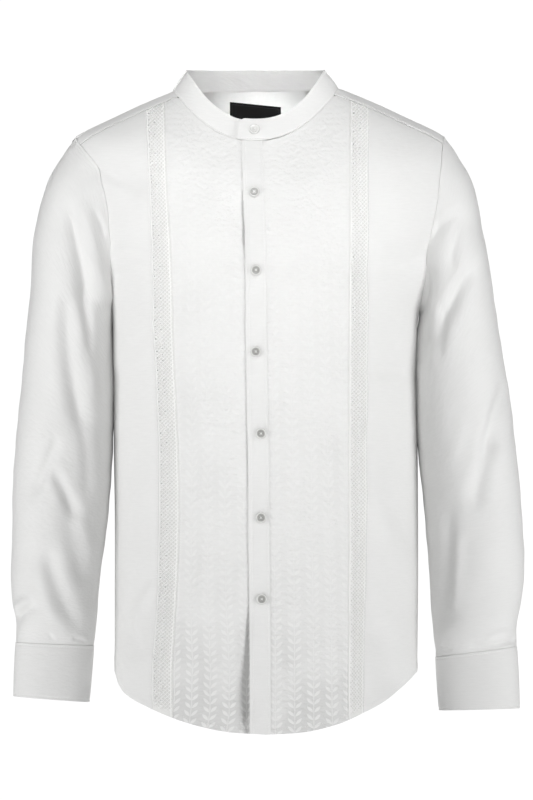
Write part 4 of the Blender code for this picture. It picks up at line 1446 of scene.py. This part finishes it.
def buttonMesh(radius):
    # A turned button: a rounded rim round a dish with four holes through it.
    look = buttonLook
    scale = radius / look["radius"] * mm
    thick, holeOut, hole = (look[name] * scale for name in ("thickness", "holeOut", "holeRadius"))
    shape = bmesh.new()
    points = [shape.verts.new((r * radius * mm, 0, h * thick)) for r, h in look["profile"]]
    for a, b in zip(points, points[1:]):
        shape.edges.new((a, b))
    outline = shape.verts[:] + shape.edges[:]
    turn = {"cent": (0, 0, 0), "axis": (0, 0, 1), "angle": 2 * math.pi, "steps": 40}
    bmesh.ops.spin(shape, geom=outline, use_merge=True, **turn)
    bmesh.ops.remove_doubles(shape, verts=shape.verts, dist=1e-6)
    bmesh.ops.recalc_face_normals(shape, faces=shape.faces)
    drill = bmesh.new()
    for i in range(4):
        way = math.radians(45 + 90 * i)
        place = Matrix.Translation((holeOut * math.cos(way), holeOut * math.sin(way), thick / 2))
        size = {"segments": 12, "radius1": hole, "radius2": hole, "depth": thick * 2}
        bmesh.ops.create_cone(drill, cap_ends=True, matrix=place, **size)
    blank, cutter = (addObject(name, bpy.data.meshes.new(name)) for name in ("button blank", "drill"))
    for made, holder in ((shape, blank), (drill, cutter)):
        made.to_mesh(holder.data)
        made.free()
    holes = blank.modifiers.new("holes", "BOOLEAN")
    holes.operation = "DIFFERENCE"
    holes.solver = "EXACT"
    holes.object = cutter
    mesh = takeMesh(blank)
    bpy.data.objects.remove(cutter, do_unlink=True)
    return mesh


def placeButton(number, node, base, out, shape, radius, looks, threads):
    # Lays a button on the cloth, and adds the paths of its crossed thread to threads.
    mesh = shape.copy()
    # the dish's faces, which get the painted shade
    inPaintedShadeDish = [
        math.hypot(*face.center.xy) < buttonLook["dish"] * radius * mm and face.center.z > 0.5 * mm
        for face in mesh.polygons
    ]
    turned = Vector(out).to_track_quat("Z", "Y").to_matrix().to_4x4()
    place = Matrix.Translation(Vector(base) * mm) @ turned
    mesh.transform(place)
    mesh.materials.clear()
    mesh.materials.append(looks["button_shell"])
    # the top button's dish lies on the white band and looks no darker than the rim, so it gets no painted
    # shade
    mesh.materials.append(looks["button_shell" if number == 1 else "button_dish_painted_shade"])
    mesh.polygons.foreach_set("material_index", [int(d) for d in inPaintedShadeDish])
    reach, high = buttonLook["holeOut"], buttonLook["thickness"]
    for way in (45, 135):
        across = np.array([math.cos(math.radians(way)), math.sin(math.radians(way)), 0])
        arc = [(-reach, 0.3), (-reach, high * 0.66), (-reach * 0.5, high * 0.86), (0, high * 0.9)]
        arc += [(-a, h) for a, h in arc[-2::-1]]
        path = [place @ Vector(across * a * mm + np.array([0, 0, h * mm])) for a, h in arc]
        threads.append((np.array(path) / mm, False))
    mesh.shade_smooth()
    mesh.set_sharp_from_angle(angle=math.radians(buttonLook["sharp"]))
    made = addObject(f"button_{number}", mesh)
    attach(made, "root")
    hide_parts(node)


def bandFace(x, z):
    turn = math.degrees(math.asin((x - neckCut["middle"]) / neckCut["halfWidth"]))
    bottom, top = neckPoint(turn), bandTopPoint(turn)
    ahead = neckPoint(turn + 2) - neckPoint(turn - 2)
    out = unit(np.cross(ahead, top - bottom))
    share = (z - bottom[2]) / (top[2] - bottom[2])
    lift = float(bandLift(turn)) + bandLook["cloth"] / 2 + 0.7
    return mix(bottom, top, share) + out * lift, out


def makeButtons(looks, cords):
    look, threads, holes = buttonLook, [], []
    onPlacket = placketLook["freeLift"] + placketLook["cloth"] / 2 + 0.3
    shape = buttonMesh(look["radius"])
    for number, (x, z) in enumerate(look["places"], 1):
        if number == 1:
            base, out = bandFace(x, z)
        else:
            angle = frontAngle(x, z)
            base = body(angle, z, onPlacket)
            out = unit(base - body(angle, z, 0))
        node = f"front_button_{number}"
        placeButton(number, node, base, out, shape, look["radius"], looks, threads)
    shape = buttonMesh(look["cuffRadius"])
    for side in sides:
        past = cuffLook["overlap"] * 0.5
        point, out = cuffOut(side, np.array(0.5), cuffLook["overEnd"] + past)
        base = point + out * (float(cuffLift(past)) + cuffLook["cloth"] / 2 + 0.6)
        number, node = f"cuff_{side}", f"cuff_button_{side}"
        placeButton(number, node, base, out, shape, look["cuffRadius"], looks, threads)
    finish = looks["thread"]
    makeTrim("button_threads", cords, threads, "cotton", Radius=look["threadRadius"], Sides=6, Finish=finish)
    turn = np.linspace(0, 2 * math.pi, 28, endpoint=False)
    halfBreadth, halfLength = (size / 2 for size in look["slot"])
    for x, z in look["places"][1:]:
        angle = frontAngle(x + halfBreadth * np.sin(turn), z)
        holes.append((body(angle, z + halfLength * np.cos(turn), onPlacket - 0.2), True))
    makeTrim("buttonholes", cords, holes, "cotton", Radius=look["slotRadius"], Sides=5, Finish=finish)


labelLook = {
    "middle": -5.5,
    "width": 61,
    "height": 29,
    "top": -13,
    "bottom": -42,
    "tilt": 6,
    "inside": 1.6,
    "pitch": 3.0,
    "cloth": 0.5,
    "edge": 0.15,
    "ribDepth": 0.04,
    "border": (2.2, 2.9),  # mm from the edge: a plain woven line
    "satin": "#0c0c0d",
    "line": "#2c2c2e",
}


# Black woven satin: smooth, with fine ribs across, and a plain line woven round the edge.
def labelSatin(name):
    look = labelLook
    made, nodes, shader = newMaterial(name, Roughness=0.5, Sheen_Weight=0.05, Specular_IOR_Level=0.35)
    flat = addNode(nodes, "ShaderNodeUVMap", uv_map="cloth")
    middle = (look["width"] / 2, look["height"] / 2, 0)
    off = addNode(nodes, "ShaderNodeVectorMath", [flat, middle], operation="SUBTRACT")
    away = addNode(nodes, "ShaderNodeVectorMath", [off], operation="ABSOLUTE")
    inside = addNode(nodes, "ShaderNodeVectorMath", [middle, away], operation="SUBTRACT")
    parts = addNode(nodes, "ShaderNodeSeparateXYZ", [inside]).outputs
    fromEdge = addNode(nodes, "ShaderNodeMath", [parts["X"], parts["Y"]], operation="MINIMUM")
    near, far = look["border"]
    inputs = [fromEdge, (near + far) / 2, (far - near) / 2]
    line = addNode(nodes, "ShaderNodeMath", inputs, operation="COMPARE")
    colours = {0: line, 6: linear(look["satin"]), 7: linear(look["line"])}
    tone = addNode(nodes, "ShaderNodeMix", colours, data_type="RGBA")
    ribs = addNode(nodes, "ShaderNodeTexWave", {"Vector": flat, "Scale": 0.5}, bands_direction="Y")
    inputs = {"Height": ribs.outputs["Fac"], "Distance": look["ribDepth"] * mm, "Strength": 1.0}
    raised = addNode(nodes, "ShaderNodeBump", inputs)
    setInputs(shader, {"Base Color": tone.outputs[2], "Normal": raised})
    return made


def makeLabel(looks):
    look = labelLook
    across = stations(look["width"], look["pitch"])[None] - 0.5
    down = stations(look["height"], look["pitch"])[:, None]
    x = look["middle"] + look["width"] * across + 0 * down
    z = mix(look["top"], look["bottom"], down) - look["tilt"] * across
    grid = body(180 - frontAngle(x, z), z, -look["inside"])
    uv = np.stack(np.broadcast_arrays((across + 0.5) * look["width"], down * look["height"]), axis=-1)
    made = clothSheet(
        "woven_neck_label", grid, looks["label_satin"], look["cloth"], look["edge"], turned=True, uv=uv
    )
    asCloth(made, "neck_label")


laceLook = {
    "across": 23.0,  # mm that a tape counts from its edge on the wearer's right to the other
    "edges": {"right": ("rightOuter", "rightInner"), "left": ("leftInner", "leftOuter")},
    "eyelets": {"right": (3.0, 9.4), "left": (5.2, 12.8)},
    "edgeCords": {"right": (0.9, 20.6), "left": (2.2, 21.9)},
    "repeat": 7.4,  # from one eyelet to the next
    "length": 765,  # a little more than a tape is long
    "columnPitch": 2.2,
    "hole": 2.0,
    "firstRow": -20.0,
    "ground": 0.3,
    "netInPaintedShade": "#ececea",  # painted shade: the open net between the cords is coloured as the shade seen through it
    "netSlubInPaintedShade": "#e2e2e0",
    "edgeRadius": 0.65,
    "cordRadius": 0.58,
    "cordStep": 2.3,  # across the tape, from one crossing of the lattice to the next
    "ringRadius": 1.35,
    "ringPoints": 10,
    "weave": 0.24,
    "push": 1.0,
    "pushReach": 1.7,
    "foot": 6.5,  # the turned hem at the foot of a tape, which has no holes
}


def tapeX(side, across, z):
    first, last = (tapeEdge[name] for name in laceLook["edges"][side])
    half = panelLook["gap"] / 2
    return mix(first(z) + half, last(z) - half, across / laceLook["across"])


def tapePoint(side, across, z, lift):
    return body(frontAngle(tapeX(side, across, z), z), z, lift)


def tapeEnds(side, across):
    top, bottom = np.full(np.shape(across), -25.0), np.full(np.shape(across), -740.0)
    for _ in range(30):
        top = frontTop(tapeX(side, across, top)) - panelLook["gap"]
        bottom = hem(frontAngle(tapeX(side, across, bottom), bottom))
    return top, bottom


def eyeletRows(side):
    # Pairs of an eyelet column and its heights; the second column stands half a repeat lower.
    look = laceLook
    count = int(look["length"] / look["repeat"])
    rows = []
    for number, across in enumerate(look["eyelets"][side]):
        z = look["firstRow"] - look["repeat"] * (np.arange(count) + 0.5 * number)
        top, bottom = tapeEnds(side, np.array(across))
        rows.append((across, z[(z < top - 2.2) & (z > bottom + look["foot"] + 1)]))
    return rows


def laceGround(side, eyelets, look):
    # The tape's close ground, with its eyelets left open.
    own, half, step = laceLook, laceLook["hole"] / 2, laceLook["repeat"] / 2
    columns = {0.0, 1.0, own["across"] - 1.0, own["across"]}
    for across, _ in eyelets:
        columns |= {across - half, across, across + half}
    columns = sorted(columns)
    for a, b in list(zip(columns, columns[1:])):
        extra = int((b - a) / own["columnPitch"])
        columns += [mix(a, b, (i + 1) / (extra + 1)) for i in range(extra)]
    columns = np.array(sorted(columns))
    top, bottom = tapeEnds(side, columns)
    marks = np.array([half, 0, -half, half - step, -step, -step - half])
    count = int(own["length"] / own["repeat"]) + 2
    rows = own["firstRow"] + own["repeat"] * (2 - np.arange(count)[:, None]) + marks[None]
    rows = rows.ravel()
    z = np.clip(rows[:, None], bottom[None], top[None])
    grid = tapePoint(side, columns[None], z, hemmedEdge(z - bottom[None]) + sewnEdge(top[None] - z))
    high, wide = z.shape
    gone = np.zeros((high - 1, wide - 1), bool)
    midColumn, midRow = (columns[:-1] + columns[1:]) / 2, (rows[:-1] + rows[1:]) / 2
    for across, heights in eyelets:
        inColumn = np.abs(midColumn - across) < half
        inRow = (np.abs(midRow[:, None] - heights[None]) < half).any(axis=1)
        gone |= inRow[:, None] & inColumn[None]
    flat = z[:-1] - z[1:] < 1e-6
    gone |= flat[:, :-1] & flat[:, 1:]
    faces = [face for face, out in zip(gridFaces(high, wide), gone.ravel()) if not out]
    uv = np.stack(np.broadcast_arrays(columns[None], z), axis=-1)
    made = newObject(f"lace_{side}", grid.reshape(-1, 3), faces, look, uv.reshape(-1, 2))
    shape = bmesh.new()
    shape.from_mesh(made.data)
    bmesh.ops.remove_doubles(shape, verts=shape.verts, dist=1e-6)
    loose = [v for v in shape.verts if not v.link_faces]
    bmesh.ops.delete(shape, geom=loose, context="VERTS")
    shape.to_mesh(made.data)
    shape.free()
    addWall(made, own["ground"])
    return made, grid


def lacePaths(side, eyelets):
    # The paths of the lattice, woven over and under, and of a ring round each eyelet.
    look = laceLook
    step = look["cordStep"]
    start, end = look["edgeCords"][side]
    across = np.arange(start, end + step / 2, step)
    top, bottom = tapeEnds(side, across)
    lattice, rings = [], []
    above = np.where(np.arange(len(across)) % 2, -1, 1) * look["weave"]
    for way in (1, -1):
        for level in np.arange(-800, 40, 2 * step):
            z = level + way * (across - start)
            u = across.copy()
            for centre, heights in eyelets:
                nearest = heights[np.abs(z[:, None] - heights[None]).argmin(axis=1)]
                du, dz = u - centre, z - nearest
                far = np.maximum(np.hypot(du, dz), 0.2)
                pushed = look["push"] * bump(far, look["pushReach"])
                u, z = u + du / far * pushed, z + dz / far * pushed
            ids = np.flatnonzero((z < top - 0.5) & (z > bottom + look["foot"] * 0.8))
            lift = look["ground"] / 2 + look["cordRadius"] * 0.8 + way * above
            if len(ids) > 1:
                lattice.append((tapePoint(side, u[ids], z[ids], lift[ids]), False))
    turn = np.linspace(0, 2 * math.pi, look["ringPoints"], endpoint=False)
    for centre, heights in eyelets:
        for height in heights:
            u = centre + look["ringRadius"] * np.cos(turn)
            z = height + look["ringRadius"] * np.sin(turn) * 1.1
            lift = np.full(len(turn), look["ground"] / 2 + look["cordRadius"] * 1.2)
            rings.append((tapePoint(side, u, z, lift), True))
    edges = []
    for u in look["edgeCords"][side]:
        top, bottom = tapeEnds(side, np.array(u))
        z = np.linspace(top - 0.8, bottom + 0.8, 260)
        edges.append((tapePoint(side, u + 0 * z, z, 0.35 + 0 * z), False))
    return lattice + rings, edges


def makeLace(looks, cords):
    for side in ("right", "left"):
        eyelets = eyeletRows(side)
        ground, grid = laceGround(side, eyelets, looks["lace"])
        asCloth(ground, f"lace_tape_{side}")
        fine, edges = lacePaths(side, eyelets)
        for name, paths, size, corners in (("cords", fine, "cord", 4), ("edges", edges, "edge", 6)):
            radius = laceLook[f"{size}Radius"]
            cord = {"Radius": radius, "Sides": corners, "Finish": looks["cord"]}
            makeTrim(f"lace_{name}_{side}", cords, paths, "lace", **cord)


stitchLook = {
    "pitch": 3.0,
    "length": 2.3,
    "radius": 0.28,
    "sink": 0.05,
    "placket": (4.5, 2.6),  # mm from its free edge and its sewn edge
    "placketEnds": (-69, -752),
    # each row beside a tape: which edge, how far off it, and where it starts and ends
    "tapes": (
        ("rightOuter", -1.6, -35, -742),
        ("rightInner", 1.6, -32, -742),
        ("leftInner", -1.6, -32, -742),
        ("leftOuter", 1.6, -35, -742),
    ),
    "seam": 1.8,
    "frontSeam": (96, 205),  # from the neck to the armhole
    "backSeam": (98, 262),  # degrees round the body
    "band": (0.08, 0.91),
}


def frontPath(xAt, lift, start, end):
    z = np.arange(start, end, -4.0)
    return body(frontAngle(xAt(z), z), z, lift), False


def hemPath(fromAngle, toAngle, off, lift):
    angle = np.linspace(fromAngle, toAngle, 180)
    return body(angle, hem(angle) + off, lift), False


def makeStitches(looks, stitches):
    look, cloth = stitchLook, panelLook["cloth"] / 2
    free, sewn = placketLook["freeLift"], placketLook["sewnLift"]
    width = placketCut["width"]
    near, far = look["placket"]
    top = placketLook["cloth"] / 2 + look["sink"]
    nearLift = mix(free, sewn, near / width) - 0.2 + top
    farLift = mix(free, sewn, 1 - far / width) - 0.25 + top
    ends = look["placketEnds"]
    front = [
        frontPath(lambda z: placketMiddle(z) - width / 2 + near, nearLift, *ends),
        frontPath(lambda z: placketMiddle(z) + width / 2 - far, farLift, *ends),
    ]
    for name, off, start, end in look["tapes"]:
        edge = tapeEdge[name]
        front.append(frontPath(lambda z, edge=edge, off=off: edge(z) + off, cloth + 0.05, start, end))
    for side in (-1, 1):
        neckEnd, armEnd = look["frontSeam"]
        x = np.linspace(neckCut["middle"] + side * neckEnd, side * armEnd, 40)
        z = ridge(x) - yokeCut["frontDrop"] + look["seam"]
        front.append((body(frontAngle(x, z), z, cloth + 0.3), False))
    angle = np.linspace(*look["backSeam"], 120)
    hemAt, onHem = seamLook["hemStitch"], cloth + 0.02
    rows = {
        "front": front,
        "back": [(body(angle, yokeCut["backSeam"] + look["seam"], cloth + 0.05), False)],
        "hem": [hemPath(-89, 89, hemAt, onHem), hemPath(91, 269, hemAt, onHem)],
        "band": [bandRow(share) for share in look["band"]],
        "cuffs": [cuffRow(side, lower) for side in sides for lower in (False, True)],
    }
    sizes = {name.capitalize(): look[name] for name in ("pitch", "length", "radius")}
    for place, paths in rows.items():
        makeTrim(f"stitches_{place}", stitches, paths, "cotton", **sizes, Finish=looks["thread"])


def makeLooks():
    # The buttons are moulded polyester; their dishes are coloured darker as painted shade.
    return {
        "cotton": poplin("cotton poplin"),
        "jacquard": jacquard("cotton jacquard"),
        # the lace net's colours hold painted shade, for the shade seen through its open mesh
        "lace": poplin("cotton lace net", 0.9, laceLook["netInPaintedShade"], laceLook["netSlubInPaintedShade"]),
        "band_cotton": poplin("interlined poplin", 0.85),
        "cord": thread("cotton lace cord", threadLook["cord"]),
        "thread": thread("cotton sewing thread", threadLook["sewn"]),
        "button_shell": newMaterial(
            "moulded polyester", Roughness=0.22, Base_Color=linear(buttonLook["shell"])
        )[0],
        "button_dish_painted_shade": newMaterial(
            "moulded polyester, dish in painted shade", Roughness=0.3, Base_Color=linear(buttonLook["dishPaintedShade"])
        )[0],
        "label_satin": labelSatin("black woven satin"),
    }


def sleeveParts(side):
    return tuple(f"{part}_{side}" for part in ("sleeve_cloth", "sleeve_placket_cloth", "cuff_cloth"))


sideLamp = (0.6, 1.1, 180, 7.8, "EXCLUDE")
studio = {
    "lens": 500.0,
    "sensor": 36.0,
    "frameHeight": 0.944,  # metres of shirt and white round it that the picture's height takes in
    "fittedDepth": -0.07,  # where that height is measured, between the fronts and the sleeves
    "aim": (0.0077, -0.3658),  # what lies in the middle of the picture
    "background": 1.05,
    "worldLight": 0.11,
    "floorGlow": 0.45,
    "floor": -1.25,
    "floorHalf": 2.4,
    # a lamp's name, place, aim, width, height, spread, power, link and parts:
    # a lamp with EXCLUDE leaves out its parts, and one with INCLUDE lights only them. Each side lamp
    # leaves out the far sleeve, which then falls into shade beside the body. The small neck and yoke
    # lamps light the inside of the band and the yoke's back through the neck.
    "lamps": (
        ("right_softbox", (-0.97, -0.83, -0.38), (-0.05, 0, -0.43), *sideLamp, sleeveParts("left")),
        ("left_softbox", (0.97, -0.83, -0.38), (0.05, 0, -0.43), *sideLamp, sleeveParts("right")),
        ("chest_softbox", (0, -1.5, 1.0), (0, 0, 0.05), 0.9, 0.5, 40, 1.5, None, ()),
        ("neck_softbox", (0, -0.7, 0.2), (0, 0.05, -0.002), 0.05, 0.05, 15, 0.011, None, ()),
        ("yoke_softbox", (0, -0.7, 0), (0, 0.05, -0.015), 0.05, 0.05, 14, 0.05, "INCLUDE", ("yoke_cloth",)),
        ("back_softbox", (0, 2.8, 0.5), (0, 0, -0.3), 1.8, 1.8, 180, 48, None, ()),
    ),
    "floorColour": "#f4f4f4",
}


def makeStudio():
    scene = bpy.context.scene
    camera = addObject("camera", bpy.data.cameras.new("camera"))
    camera.data.lens = studio["lens"]
    camera.data.sensor_width = studio["sensor"]
    # the sensor's width is the long side's, so it sets the height of the picture
    distance = studio["frameHeight"] * studio["lens"] / studio["sensor"]
    camera.location = (studio["aim"][0], studio["fittedDepth"] - distance, studio["aim"][1])
    camera.rotation_euler = (math.radians(90), 0, 0)
    camera.data.clip_end = 100
    scene.camera = camera
    world = bpy.data.worlds.new("white studio")
    scene.world = world
    world.use_nodes = True
    nodes = world.node_tree.nodes
    white = (1, 1, 1, 1)
    shown, light = (
        addNode(nodes, "ShaderNodeBackground", {"Color": white, "Strength": studio[strength]})
        for strength in ("background", "worldLight")
    )
    rays = addNode(nodes, "ShaderNodeLightPath").outputs["Is Camera Ray"]
    both = addNode(nodes, "ShaderNodeMixShader", [rays, light, shown])
    setInputs(nodes["World Output"], {"Surface": both})
    for name, place, aimAt, width, height, spread, power, link, parts in studio["lamps"]:
        lamp = addObject(name, bpy.data.lights.new(name, "AREA"))
        lamp.location = place
        lamp.data.shape = "RECTANGLE"
        lamp.data.size, lamp.data.size_y = width, height
        lamp.data.spread = math.radians(spread)
        lamp.data.energy = power
        lamp.visible_camera = False
        aim = Vector(aimAt) - Vector(place)
        lamp.rotation_euler = aim.to_track_quat("-Z", "Y").to_euler()
        if parts:
            linked = bpy.data.collections.new(f"{name} parts")
            for part in parts:
                linked.objects.link(bpy.data.objects[part])
            for held in linked.collection_objects:
                held.light_linking.link_state = link
            lamp.light_linking.receiver_collection = linked
    colours = {"Emission_Color": white, "Base_Color": linear(studio["floorColour"])}
    glow = {"Roughness": 0.6, "Emission_Strength": studio["floorGlow"]}
    half, z = studio["floorHalf"], studio["floor"]
    corners = [(-half, -half, z), (half, -half, z), (half, half, z), (-half, half, z)]
    mesh = bpy.data.meshes.new("floor")
    mesh.from_pydata(corners, [], [(0, 1, 2, 3)])
    mesh.materials.append(newMaterial("pale studio floor", **colours, **glow)[0])
    floor = addObject("floor", mesh)
    scene.view_settings.view_transform = "Standard"


def makeShirt():
    looks = makeLooks()
    makeFronts(looks)
    print("fronts made")
    makePlacket(looks)
    makeBack(looks)
    makeYoke(looks)
    print("back, yoke and placket made")
    makeBand(looks)
    makeSleeves(looks)
    makeCuffs(looks)
    print("band, sleeves and cuffs made")
    cords, stitches = cordTree(), stitchTree()
    makeLace(looks, cords)
    makeStitches(looks, stitches)
    makeButtons(looks, cords)
    makeLabel(looks)
    print("lace, buttons and label made")


makeShirt()
makeStudio()
